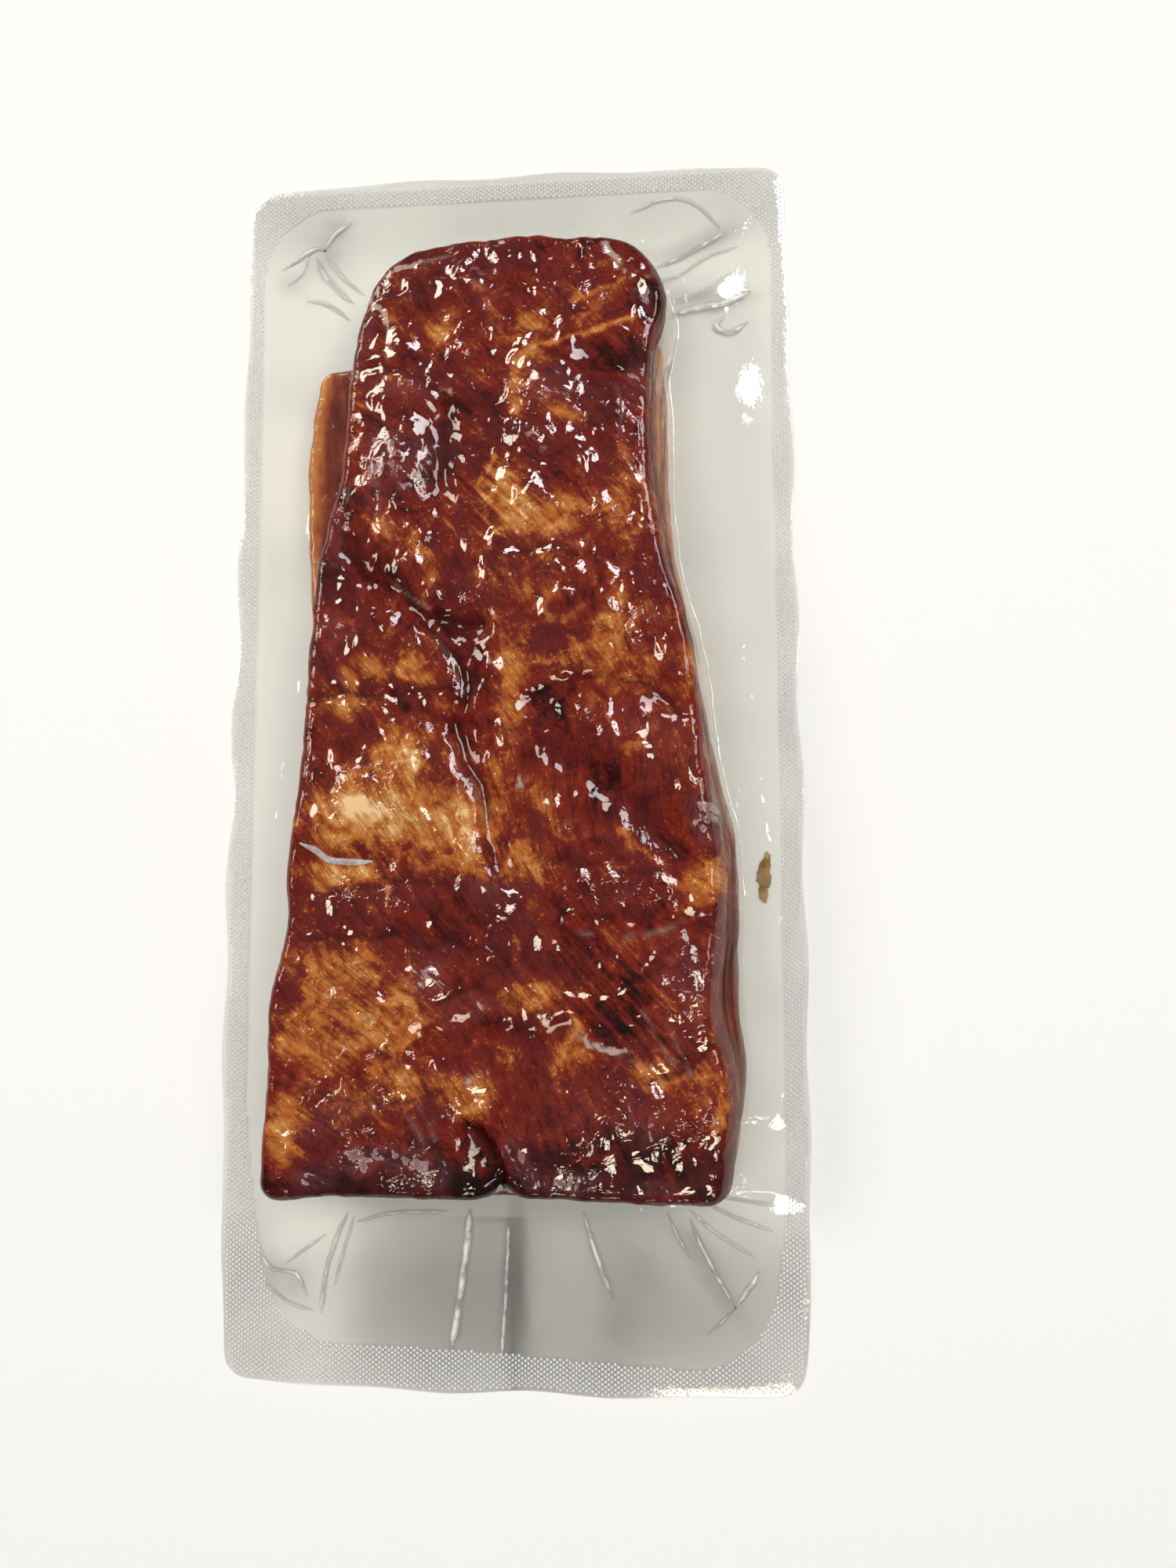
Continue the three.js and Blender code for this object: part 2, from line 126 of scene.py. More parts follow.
# Narrow creases that only the fine surface shows: half width, depth, line
CREASES = [
    (1.0, 1.6, [(-48, 63), (-40, 54), (-33, 49), (-26, 43), (-20, 40), (-12, 39), (-4, 37)]),
    (1.5, 1.4, [(-22, 38), (-16, 30), (-10, 22), (-8, 12)]),
    (1.5, 1.3, [(-12, 8), (-9, -2), (-3, -12), (-1, -22)]),
    (1.3, 1.2, [(-46, 121), (-36, 122), (-24, 118), (-16, 112)]),
    (1.3, 1.1, [(10, 14), (20, 19), (34, 21), (48, 18), (58, 8)]),
    (1.4, 1.2, [(-58, 14), (-46, 16), (-34, 15), (-20, 17), (-12, 18)]),
    (1.4, 1.3, [(8, 60), (18, 61), (26, 58)]),
    (1.3, 1, [(14, -34), (28, -37), (44, -39), (56, -41)]),
    (1.3, 1, [(-54, -46), (-40, -44), (-26, -42), (-12, -44)]),
    (1.3, 1, [(-56, -59), (-40, -60), (-22, -59), (-8, -63), (4, -68)]),
    (1.4, 1.2, [(-16, -78), (-6, -74), (4, -78), (8, -86)]),
    (1.3, 1, [(-60, -104), (-44, -107), (-28, -108), (-14, -104)]),
    (1.3, 1.2, [(34, -97), (46, -101), (58, -98), (66, -90)]),
    (1.5, 1.6, [(-8, -114), (-2, -122), (3, -130), (6, -140)]),
]

# Fat that shows on the rib side: x, y, half length, half width, turn in degrees, strength
FAT_PATCHES = [
    (-27, 155, 9, 3, 20, 0.6), (-15, 136, 9, 3.5, 85, 0.65), (8, 133, 14, 4, 5, 0.55),
    (36, 145, 9, 4, 35, 0.65), (5, 79, 13, 7, -10, 0.95), (18, 70, 16, 8, 0, 0.8),
    (40, 75, 9, 8, -30, 0.85), (38, 91, 7, 6, 0, 0.55), (24, 104, 6, 4, 0, 0.6),
    (-31, 67, 13, 3.5, -38, 0.75), (-22, 57, 7, 3, -60, 0.6), (5, 19, 13, 7, 88, 0.95),
    (24, 26, 11, 4, 15, 0.75), (38, 35, 18, 6, 85, 0.85), (-30, 23, 15, 6, 0, 0.75),
    (-48, 12, 10, 4, 5, 0.75), (-26, -20, 23, 15, -8, 1.15), (-47, -24, 13, 10, 0, 0.8),
    (-27, -3, 11, 5, -10, 0.9), (-48, -40, 16, 4, -5, 0.9), (61, 22, 11, 3, 85, 0.8),
    (3, -3, 10, 5, 80, 0.62), (13, -12, 10, 6, -30, 0.45), (65, -40, 9, 8, -20, 0.85),
    (12, -38, 10, 5, 0, 0.8), (-7, -36, 5, 6, 0, 0.8), (-47, -69, 19, 9, 0, 0.85),
    (-50, -88, 18, 11, 0, 0.85), (-26, -82, 12, 12, 0, 0.8), (13, -77, 8, 6, -10, 0.85),
    (50, -100, 14, 4, 0, 0.85), (66, -106, 14, 4.5, 85, 0.8), (-25, -104, 21, 7, 0, 0.72),
    (-5, -108, 8, 4.5, 80, 0.7), (-64, -120, 14, 8, 80, 0.85), (35, -58, 9, 3, -10, 0.45),
    (46, -2, 6, 3, 30, 0.3), (-56, -52, 5, 4, 0, 0.4), (30, -92, 10, 4, -30, 0.6),
    (-27, 131, 10, 8, 0, 0.38), (-26, 113, 8, 7, 0, 0.36), (12, 58, 14, 9, 0, 0.3), (8, 40, 9, 9, 0, 0.34),
    (44, 22, 9, 10, 0, 0.42), (59, 0, 7, 12, 0, 0.36), (-44, 14, 10, 12, 0, 0.28), (-8, -25, 7, 9, 0, 0.55),
    (9, -25, 9, 8, 0, 0.36), (0, -43, 13, 5, 0, 0.3), (-41, -43, 14, 7, 0, 0.34), (-48, -108, 16, 8, 0, 0.38),
    (-40, -122, 8, 6, 0, 0.22), (-24, 25, 10, 8, 0, 0.25),
]

# Seams of fat between muscles: half width, strength, line
FAT_SEAMS = [
    (1.3, 1.05, [(43, 135), (28, 131), (12, 127)]), (1.2, 0.85, [(40, 149), (31, 145), (24, 142)]),
    (3, 0.95, [(12, 127), (7, 120), (5, 104)]),
    (2, 0.8, [(38, -27), (45, -33), (52, -38)]),
    (2.2, 0.8, [(25, -84), (22, -92), (19, -98)]),
    (1.6, 0.75, [(-41, 73), (-33, 66), (-26, 62), (-21, 54)]),
    (1.5, 0.7, [(0, 92), (-6, 82), (-3, 72)]),
    (1.5, 0.6, [(10, 36), (22, 38), (30, 42)]),
]

# Darker and lighter lean, with painted shade in the pits and along the clefts: x, y, half length, half width,
# turn in degrees, change of tone
TONE_AND_SHADE_PATCHES = [
    (34, 118, 13, 9, 0, -0.3), (43, 119, 5, 4, 0, -0.4), (-17, 95, 10, 4, 88, -0.8),
    (-52, 50, 12, 9, 70, -0.5), (15, 14, 7, 5, 0, -0.35), (32, 15, 15, 4, 5, -0.25),
    (22, -5, 6, 3, -30, -0.4), (48, -24, 19, 6, -42, -0.45), (-5, -50, 15, 8, 0, -0.3),
    (6, 142, 30, 15, 0, 0.22), (36, -78, 20, 10, -60, -0.4), (44, -55, 16, 8, 0, -0.3),
    (49, 144, 6, 7, 0, -1.0), (-28, -52, 22, 8, 0, -0.2),
    (16, 62, 9, 4, 0, -0.45), (-10, 34, 12, 5, -40, -0.55), (4, 155, 34, 9, 0, -0.1),
    (38, -124, 34, 9, 0, -0.9), (-30, -132, 44, 5, 0, -0.9), (-8, 24, 10, 4, 90, -0.5),
    (42, 66, 8, 6, -50, 0.25), (50, 4, 16, 10, -50, 0.25), (16, 42, 18, 10, 0, 0.2),
    (-44, 36, 14, 9, 0, 0.15), (-34, 6, 22, 6, 0, 0.1), (30, -108, 24, 9, 0, 0.25),
    (-8, 78, 12, 4, -60, 0.2), (54, -80, 18, 8, -75, 0.2), (10, -60, 16, 6, 0, -0.15),
]

# Film that stands off the meat, with a painted purple sheen of its reflected surroundings: x, y, half length,
# half width, turn, strength
LIFTED_SHEEN_PATCHES = [
    (-32, 90, 13, 12, 0, 0.9), (-30, 113, 10, 5, 0, 0.6), (18, 114, 10, 7, 0, 0.6),
    (64, -23, 9, 5, 88, 1.0), (58, -74, 15, 9, -70, 0.5), (-41, -124, 9, 4, 20, 1.1),
    (-28, -126, 8, 4.5, -10, 1.1), (-17, -128, 6, 3.5, 0, 1.0), (9, -125, 8, 3.5, -50, 1.0),
    (-9, -81, 9, 5, 0, 0.6), (-20, -71, 6, 5, 0, 0.9), (34, -111, 22, 9, 0, 0.35),
    (-46, -112, 12, 5, 10, 0.55), (50, 2, 15, 8, -40, 0.3), (46, -115, 9, 4, 0, 0.4),
    (-52, 34, 10, 7, 0, 0.45), (45, 112, 4, 14, 0, 0.5), (0, -46, 6, 5, 0, 0.5), (20, 62, 10, 5, 0, 0.3),
    (66, -62, 3, 9, 0, 0.7), (46.5, 142, 2.5, 4, 0, 1), (-44, 128, 3, 16, 0, 0.5), (24, -131, 9, 3, 10, 0.8),
    (52, -132, 10, 3, 0, 0.6), (-56, -131, 8, 3, -10, 0.7), (-52, 68, 4, 10, 30, 0.5),
]

# Pale ends of ribs and gristle, and painted film glare on them, along the back edge and on torn chips:
# x, y, half length, half width, turn, strength
PALE_AND_GLARE_PATCHES = [
    (-31, 129, 4, 4, 0, 0.8), (-17, 112, 5, 2.5, -60, 0.9), (10, 98, 4, 3, 0, 0.9), (12, 92, 4, 3, 0, 0.7),
    (0, 62, 4, 2, 80, 0.8), (-2, 23, 3.5, 3, 0, 0.7), (-10, 15, 6, 2.5, -10, 0.6), (8, -14, 4, 3, 0, 0.7),
    (-6, -34, 4, 4, 0, 0.6), (-15, -45, 5, 2, 20, 0.5), (-20, -71, 5, 4, 0, 0.6), (-7, -100, 5, 4, 0, 0.7),
    (30, -88, 7, 1.8, -25, 0.9), (38, -92, 5, 1.6, -15, 0.9), (47, -97, 5, 1.4, -50, 0.8),
    (57, -95, 5, 1.4, -60, 0.7), (-38, 141, 12, 2.2, -72, 1.3), (-29, 156.5, 9, 1.4, 24, 1.2),
    (39, 156, 9, 2, -68, 1.2), (-34, -72, 6, 1.5, 0, 0.6), (-25, -78, 4, 2, 0, 0.6),
    (50, -80, 4, 1.5, -20, 0.5), (-58, -94, 6, 1.3, 30, 0.6), (62, -52, 6, 1.5, 30, 0.6),
]

# Muscle torn into long strings: x, y, half length, half width, turn in degrees, strength
TORN_MUSCLE = [(42, -78, 26, 14, -58, 1.1), (-4, 82, 16, 10, -60, 0.8)]

# Sharp tucks pressed into the flat film: half width, height, line
TUCKS = [
    (0.8, 1.3, [(-12.5, -147), (-15, -168), (-18.5, -191)]),
    (0.45, 0.6, [(0, -150), (-1, -175), (-2.5, -196)]),
    (0.5, 0.8, [(24, -147), (28, -160), (33.5, -174)]),
    (0.4, 0.5, [(51, -147), (54, -154), (58, -161)]),
    (0.5, 0.7, [(58, -149), (64, -162), (72, -176)]),
    (0.6, 0.9, [(72, -176), (77, -169), (80, -164)]),
    (0.4, 0.5, [(72, -176), (67, -181), (63, -184)]),
    (0.5, 0.6, [(-53, -149), (-57, -158), (-60, -168), (-61.5, -181)]),
    (0.35, 0.4, [(-51, -150), (-54, -160), (-57, -172)]),
    (0.45, 0.6, [(-82, -162), (-79, -167), (-74, -168), (-70, -169), (-66, -176)]),
    (0.4, 0.5, [(-50, -152), (-38, -149), (-20, -148)]),
    (0.35, 0.35, [(-74, -166), (-66, -160), (-60, -156)]),
    (0.35, 0.4, [(-80, -172), (-72, -178), (-64, -180)]),
    (0.6, 0.8, [(-82, 174), (-70, 181), (-66, 180)]),
    (0.55, 0.8, [(-67, 180), (-63, 186), (-57, 190)]),
    (0.6, 0.7, [(-70, 178), (-66, 170), (-56, 160)]),
    (0.4, 0.5, [(-66, 178), (-60, 170), (-52, 163)]),
    (0.5, 0.6, [(-73, 162), (-65, 160), (-57, 154)]),
    (0.35, 0.4, [(-80, 168), (-75, 172), (-72, 179)]),
    (0.6, 0.8, [(50, 168), (56, 170), (62, 173), (74, 179)]),
    (0.4, 0.5, [(41, 188), (52, 192), (62, 191), (72, 181)]),
    (0.35, 0.4, [(48, 162), (56, 164), (68, 171), (78, 174)]),
    (0.7, 1.0, [(54, 150), (62, 152), (72, 153), (82, 158)]),
    (0.7, 0.9, [(73, 149), (70, 146), (74, 143), (81, 147)]),
    (0.35, 0.4, [(56, 155), (66, 158), (76, 165)]),
    (0.4, 0.5, [(62, -143), (72, -148), (84, -152)]),
    (0.4, 0.4, [(64, -141), (76, -143), (88, -144)]),
    (0.35, 0.4, [(58, -146), (66, -153), (78, -160)]),
]

# Soft swells in the flat film that catch a broad highlight: x, y, half length, half width, turn, height
SWELLS = [
    (74, 118, 14, 9, 88, 3.2), (66, 156, 9, 9, 0, 3.9), (81, -113, 8, 7, 0, 3.4), (86, -139, 8, 7, 0, 2.2),
    (84, -62, 14, 6, 88, 2.2), (-84, 60, 40, 6, 90, 0.8), (-84, -60, 30, 6, 90, 1.0),
    (18, -170, 26, 12, 85, 1.2), (-38, -172, 24, 14, 80, 0.5), (44, -176, 18, 9, 80, 0.5),
    (-66, 168, 8, 6, 40, 1.4), (74, 178, 8, 5, 30, 1.0), (0, 197, 30, 4, 0, 0.8),
]

# Painted grey and lighter stretches of the flat film, standing in for its darker reflections and shade at the
# front
# and at the creased corners: x, y, half length, half width, turn, strength
FILM_SHADE_PATCHES = [
    (0, -176, 110, 34, 0, 0.34), (6, -174, 50, 30, 0, 0.12), (2, -170, 34, 3.6, 89, 0.3),
    (18, -174, 26, 12, 88, -0.12), (0, 190, 110, 16, 0, 0.14), (-64, -172, 16, 34, 0, -0.2),
    (40, -172, 22, 4, 68, 0.07), (-72, 172, 14, 4, 30, 0.18), (-64, 184, 8, 4, 60, 0.2),
    (66, 176, 16, 4, 20, 0.18), (72, 156, 12, 3, 0, 0.18),
    (64, -165, 14, 4, -60, 0.2), (-74, -170, 12, 4, -40, 0.2),
]

# Pleats of film that stands off the slab's right side: offset at the back and front, half width, height
PLEATS = [(3.6, 0.4, 0.4, 0.6), (0.6, -0.2, 0.35, 0.5)]
PLEATED_FROM, PLEATED_TO = 26, 134

# Ridges of pulled film over the meat: half width, height, line
RIDGES = [
    (0.5, 0.5, [(-32, 51), (-26, 46), (-20, 42.5)]),
    (1.0, 0.7, [(40, -59), (46, -58), (51, -57), (57, -54)]), (0.7, 0.5, [(24, -57), (30, -58)]),
    (0.6, 0.7, [(24, -87), (28, -89), (35, -92), (42, -95), (47, -98)]),
    (0.6, 0.6, [(46, -97), (50, -95), (57, -95)]),
    (0.7, 0.8, [(-57, 63), (-53, 58), (-48, 56)]),
    (0.6, 0.7, [(-26, -111), (-23, -115), (-20, -121)]), (0.6, 0.7, [(-22, -109), (-19, -114), (-17, -119)]),
    (0.7, 0.8, [(-8, 150), (-5, 148), (-3, 141)]), (0.7, 0.7, [(-27, 158), (-22, 160), (-17, 161)]),
    (0.5, 0.5, [(-7, -10), (-4, -18)]), (0.6, 0.6, [(-14, 2), (-11, -6), (-8, -14)]),
    (0.6, 0.6, [(-18, 33), (-13, 26), (-11, 18)]), (0.6, 0.6, [(52, -84), (56, -92), (59, -99)]),
    (0.6, 0.6, [(45, -80), (49, -88), (54, -96)]), (0.6, 0.6, [(-38, 84), (-36, 78), (-37, 72), (-33, 66)]),
    (0.6, 0.6, [(-50, 92), (-46, 84), (-47, 77)]), (0.6, 0.6, [(38, 112), (40, 104), (39, 96)]),
]

# Air caught under the film: half width, height, line
AIR_CHANNELS = [
    (0.55, 0.5, [(-60, -30), (-56, -32), (-51, -35), (-45, -36), (-37, -36)]),
]

# Pockets of air over the meat and drops of juice: x, y, half length, half width, turn in degrees, height
AIR_POCKETS = [(3.6, -137, 4.2, 1.5, 8, 0.2), (1.2, -135, 2.2, 1.2, 75, 0.2)]
JUICE_DROPS = [(83.2, -40, 4.6, 2.4, 84, 0.1), (84, -35, 2.6, 1.1, 80, 0.1), (82.8, -46, 2.8, 1.4, 95, 0.1)]


class PackSettings(bpy.types.PropertyGroup):
    """Sizes and colours of the pack that a user may change."""

    film_gap: bpy.props.FloatProperty(
        name="Film gap", description="Space between the meat and the film that clings to it",
        default=0.00018, min=0.00005, max=0.001, subtype="DISTANCE", unit="LENGTH")
    wrinkle_height: bpy.props.FloatProperty(
        name="Wrinkle height", description="Height of the crinkles in the film over the meat",
        default=0.00042, min=0.0, max=0.002, subtype="DISTANCE", unit="LENGTH")
    knurl_pitch: bpy.props.FloatProperty(
        name="Knurl pitch", description="Distance between neighbouring dots of the heat seal",
        default=0.00128, min=0.0008, max=0.004, subtype="DISTANCE", unit="LENGTH")
    knurl_height: bpy.props.FloatProperty(
        name="Knurl height", description="Height of the dots of the heat seal",
        default=0.00026, min=0.0001, max=0.001, subtype="DISTANCE", unit="LENGTH")
    lean_colour: bpy.props.StringProperty(
        name="Lean colour", description="sRGB hex of the smoked lean meat", default="#6B1A0F")
    fat_colour: bpy.props.StringProperty(
        name="Fat colour", description="sRGB hex of the smoked fat", default="#B8692C")
    seed: bpy.props.IntProperty(
        name="Seed", description="Seed of every random pattern", default=7, min=0)


def linear(code):
    """Linear colour with alpha 1 from an sRGB hex value such as #6B1F14."""
    parts = [int(code[i:i + 2], 16) / 255 for i in (1, 3, 5)]
    return (*[c / 12.92 if c <= 0.04045 else ((c + 0.055) / 1.055) ** 2.4 for c in parts], 1.0)


def smoothstep(value, low, high):
    """Smooth rise from 0 at low to 1 at high."""
    t = np.clip((value - low) / (high - low), 0, 1)
    return t * t * (3 - 2 * t)


def through(table, column, places):
    """Values of one column of a table on a smooth curve through its rows."""
    places = np.asarray(places, float)
    rows = table[:, 0]
    last = len(rows) - 1
    i = np.clip(np.searchsorted(rows, places, side="left") - 1, 0, last - 1)
    before, after = np.maximum(np.arange(last + 1) - 1, 0), np.minimum(np.arange(last + 1) + 1, last)
    slope = (table[after, column] - table[before, column]) / (rows[after] - rows[before])
    span = rows[i + 1] - rows[i]
    t = np.clip((places - rows[i]) / span, 0, 1)
    rise = 3 * t ** 2 - 2 * t ** 3
    bend = slope[i] * (t ** 3 - 2 * t ** 2 + t) + slope[i + 1] * (t ** 3 - t ** 2)
    return table[i, column] * (1 - rise) + table[i + 1, column] * rise + span * bend


def distance_to(line, x, y):
    """Shortest distance from each place to a broken line."""
    best = np.full(np.shape(x), np.inf)
    for (ax, ay), (bx, by) in zip(line, line[1:]):
        dx, dy = bx - ax, by - ay
        t = np.clip(((x - ax) * dx + (y - ay) * dy) / (dx * dx + dy * dy), 0, 1)
        best = np.minimum(best, np.hypot(x - ax - t * dx, y - ay - t * dy))
    return best


def bell(distance):
    """Smooth bump that is 1 at distance 0 and falls off beyond 1."""
    return np.exp(-distance ** 2)


def grooves(lines, x, y, broad=1):
    """Sum of round grooves along broken lines, each given by its half width, depth and line."""
    total = np.zeros(np.shape(x))
    for wide, deep, line in lines:
        total += deep * bell(distance_to(line, x, y) / (broad * wide))
    return total


def blobs(patches, x, y, power=1):
    """Sum of turned oval bumps; a higher power makes them flatter inside and steeper at the rim."""
    total = np.zeros(np.shape(x))
    for px, py, along, across, turn, strength in patches:
        c, s = math.cos(math.radians(turn)), math.sin(math.radians(turn))
        u = ((x - px) * c + (y - py) * s) / along
        v = ((y - py) * c - (x - px) * s) / across
        total += strength * np.exp(-(u * u + v * v) ** power)
    return total


def grain(x, y, size, seed, octaves=4, rough=0.5):
    """Smooth random pattern from -1 to 1 with features of the given size, the same for the same seed."""
    cells = 256
    total, weight, most = np.zeros(np.shape(x)), 1.0, 0.0
    for octave in range(octaves):
        lattice = np.random.default_rng(seed * 31 + octave).uniform(-1, 1, (cells, cells))
        u, v = x / size + 64.37 * (octave + 1), y / size + 17.71 * (octave + 1)
        i, j = np.floor(u).astype(int), np.floor(v).astype(int)
        fu, fv = (f * f * f * (f * (6 * f - 15) + 10) for f in (u - i, v - j))
        left, right, front, back = i % cells, (i + 1) % cells, j % cells, (j + 1) % cells
        low = lattice[left, front] * (1 - fu) + lattice[right, front] * fu
        high = lattice[left, back] * (1 - fu) + lattice[right, back] * fu
        total += weight * (low * (1 - fv) + high * fv)
        most += weight
        weight *= rough
        size /= 2.03
    return total / most


def drawn_in(radius, distance):
    """How far a rounded end is drawn in, at a distance from its outermost line."""
    inside = np.clip(radius - distance, 0, radius)
    return radius - np.sqrt(radius * radius - inside * inside)


def relief(x, y):
    """Relief of the rib side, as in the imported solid."""
    return blobs(HUMPS, x, y) - grooves(CLEFTS, x, y)


def wavering(x, y, seed):
    """The same places moved by up to 1.5 mm, so that a crease read there wavers."""
    waver = 1.5 * grain(x, y, 9, seed + 3, 2)
    return x + waver, y + waver


def fine_relief(x, y, seed):
    """Small relief of the rib side: creases, lumps, bundles of fibres and pores."""
    along, across = fibre_lines(x, y, seed)
    lively = 0.8 + 0.45 * grain(x, y, 40, seed + 6, 2)
    height = 0.6 * grain(x, y, 15, seed + 1, 2) - grooves(CREASES, *wavering(x, y, seed))
    height += 0.95 * lively * grain(along / 1.9, across, 3.9, seed + 2, 2, 0.4)
    return height + 0.22 * grain(x, y, 2.4, seed + 7, 1)


def fibre_lines(x, y, seed):
    """Distance along and across the muscle fibres, which bend slowly over the slab."""
    slant = math.radians(-55)
    bent_x = x + 16 * grain(x, y, 60, seed + 8, 1)
    bent_y = y + 16 * grain(x, y, 60, seed + 9, 1)
    along = bent_x * math.cos(slant) + bent_y * math.sin(slant)
    across = bent_y * math.cos(slant) - bent_x * math.sin(slant)
    return along, across


def lower_back_edge(x):
    """The lower slab was cut slightly askew at the back."""
    return 134.5 + 0.07 * x


def upper_bottom(x, y):
    """Underside of the upper slab, which droops past the lower one's back edge."""
    past = (y - lower_back_edge(x) - DROOP_START) / DROOP_RUN
    down = smoothstep(past, 0, 1)
    return (LOWER_TOP + LAYER_GAP) * (1 - down) + MEAT_FLOOR * down


UPPER = {
    "front": -137, "back": 169.5, "corner_front": 1.5, "corner_back": 10, "rim": 4.5, "square": 2.6,
    "sides": UPPER_SIDES,
    "lean_left": lambda y: np.full(np.shape(y), 1.5),
    "lean_right": lambda y: 5 * smoothstep(20 - y, 0, 50),
    "bow_front": lambda x: 0.5 * np.sin(x / 9) - 1.2 * (x / 65) ** 2 + 4 * bell((x - 3) / 4),
    "bow_back": lambda x: (-5.5 * (np.minimum(x - 8, 0) / 45) ** 2 - 1.5 * smoothstep(x, 10, 20)
                           - (np.maximum(x - 20, 0) / 20) ** 2),
    "top": lambda x, y: through(CROWN, 1, y) + relief(x, y),
    "bottom": upper_bottom,
}
LOWER = {
    "front": -141, "back": 134.5, "corner_front": 2.5, "corner_back": 2, "rim": 3.5, "square": 3.0,
    "sides": LOWER_SIDES,
    "lean_left": lambda y: np.full(np.shape(y), 1.0),
    "lean_right": lambda y: np.full(np.shape(y), 1.5),
    "bow_front": lambda x: 0.8 * np.sin(x / 11 + 1),
    "bow_back": lambda x: lower_back_edge(x) - lower_back_edge(0),
    "top": lambda x, y: np.full(np.shape(x), LOWER_TOP),
    "bottom": lambda x, y: np.full(np.shape(x), MEAT_FLOOR),
}


def bow(slab, x, y):
    """Shift of a slab's section along the stack, which bends its two end lines in plan."""
    bend_front = 1 - smoothstep(y - slab["front"], 0, BOW_RUN)
    bend_back = 1 - smoothstep(slab["back"] - y, 0, BOW_RUN)
    return slab["bow_front"](x) * bend_front + slab["bow_back"](x) * bend_back


def slab_plan(slab, rows, columns):
    """Plan grid of a slab's top, drawn in by its rim: x and y, rows by columns."""
    rim = slab["rim"]
    front, back = slab["front"] + rim, slab["back"] - rim
    ends = 14
    turn = np.linspace(0, math.pi / 2, ends, endpoint=False)
    start = front + slab["corner_front"] * (1 - np.cos(turn))
    finish = back - slab["corner_back"] * (1 - np.cos(turn))
    middle = np.linspace(front + slab["corner_front"], back - slab["corner_back"], rows - 2 * ends)
    y = np.concatenate([start, middle, finish[::-1]])
    corner = drawn_in(slab["corner_front"], y - front) + drawn_in(slab["corner_back"], back - y)
    left = through(slab["sides"], 1, y) + rim + corner
    right = through(slab["sides"], 2, y) - rim - corner
    share = np.linspace(0, 1, columns)
    x = left[:, None] * (1 - share) + right[:, None] * share
    yy = np.repeat(y[:, None], columns, 1)
    return x, yy + bow(slab, x, yy)


def loop_of(rows, columns):
    """Index of each border point of a grid, anticlockwise from its front left corner."""
    front = np.arange(columns)
    right = (np.arange(1, rows) + 1) * columns - 1
    back = (rows - 1) * columns + np.arange(columns - 2, -1, -1)
    left = np.arange(rows - 2, 0, -1) * columns
    return np.concatenate([front, right, back, left])


def grid_quads(rows, columns):
    """Quads of a grid, facing up."""
    at = np.arange((rows - 1) * columns).reshape(rows - 1, columns)[:, :-1].ravel()
    return np.stack([at, at + 1, at + columns + 1, at + columns], 1)


def ring_quads(first, second):
    """Quads between two closed rings of point numbers, facing away from the ring they surround."""
    return np.stack([first, second, np.roll(second, -1), np.roll(first, -1)], 1)


def outward(points):
    """Outward direction at each point of a closed anticlockwise line."""
    step = np.roll(points, -2, 0) - np.roll(points, 2, 0)
    normal = np.stack([step[:, 1], -step[:, 0]], 1)
    normal /= np.linalg.norm(normal, axis=1)[:, None]
    for _ in range(3):
        normal = np.roll(normal, 1, 0) + 2 * normal + np.roll(normal, -1, 0)
        normal /= np.linalg.norm(normal, axis=1)[:, None]
    return normal


def make_mesh(name, points, faces, values=None):
    """New object from points in millimetres, arrays of quads and triangles, and named values per point."""
    mesh = bpy.data.meshes.new(name)
    mesh.vertices.add(len(points))
    mesh.vertices.foreach_set("co", (np.asarray(points, float) * MM).astype(np.float32).ravel())
    if faces:
        sizes = np.concatenate([np.full(len(f), f.shape[1]) for f in faces])
        corners = np.concatenate([np.asarray(f).ravel() for f in faces]).astype(np.int32)
        mesh.loops.add(len(corners))
        mesh.loops.foreach_set("vertex_index", corners)
        mesh.polygons.add(len(sizes))
        starts = np.concatenate([[0], np.cumsum(sizes)[:-1]]).astype(np.int32)
        mesh.polygons.foreach_set("loop_start", starts)
        mesh.polygons.foreach_set("use_smooth", np.ones(len(sizes), bool))
    mesh.update(calc_edges=True)
    mesh.validate()
    for key, value in (values or {}).items():
        layer = mesh.attributes.new(key, "FLOAT", "POINT")
        layer.data.foreach_set("value", np.asarray(value, np.float32))
    made = bpy.data.objects.new(name, mesh)
    bpy.context.scene.collection.objects.link(made)
    return made


def slab_points(slab, rows, columns, rings, extra):
    """Points of a closed slab: its top grid, its rounded sides ring by ring, and strips under it."""
    x, y = slab_plan(slab, rows, columns)
    top = slab["top"](x, y) + extra(x, y)
    points = [np.stack([x.ravel(), y.ravel(), top.ravel()], 1)]
    loop = loop_of(rows, columns)
    base = points[0][loop]
    normal = outward(base[:, :2])
    bottom = slab["bottom"](base[:, 0], base[:, 1])
    lean = np.where(normal[:, 0] > 0, slab["lean_right"](base[:, 1]), slab["lean_left"](base[:, 1]))
    faces = [grid_quads(rows, columns)]
    previous = loop
    count = rows * columns
    for k in range(1, rings + 1):
        angle = math.pi * k / rings
        up = math.copysign(abs(math.cos(angle)) ** (2 / slab["square"]), math.cos(angle))
        out = slab["rim"] * abs(math.sin(angle)) ** (2 / slab["square"])
        reach = out - lean * up / 2 * np.abs(normal[:, 0]) + lean / 2 * np.abs(normal[:, 0]) * (1 - k / rings)
        waver = 0.7 * math.sin(angle) * grain(base[:, 0] + 40, base[:, 1] + 9 * up, 7, 11, 3)
        z = (base[:, 2] + bottom) / 2 + up * (base[:, 2] - bottom) / 2
        spot = base[:, :2] + normal * (reach + waver)[:, None]
        points.append(np.column_stack([spot, z]))
        ring = count + np.arange(len(loop))
        faces.append(ring_quads(previous, ring))
        previous = ring
        count += len(loop)
    strips, extra_points = underside(previous, np.concatenate(points), slab, rows, columns, count)
    return np.concatenate(points + [extra_points]), faces + strips


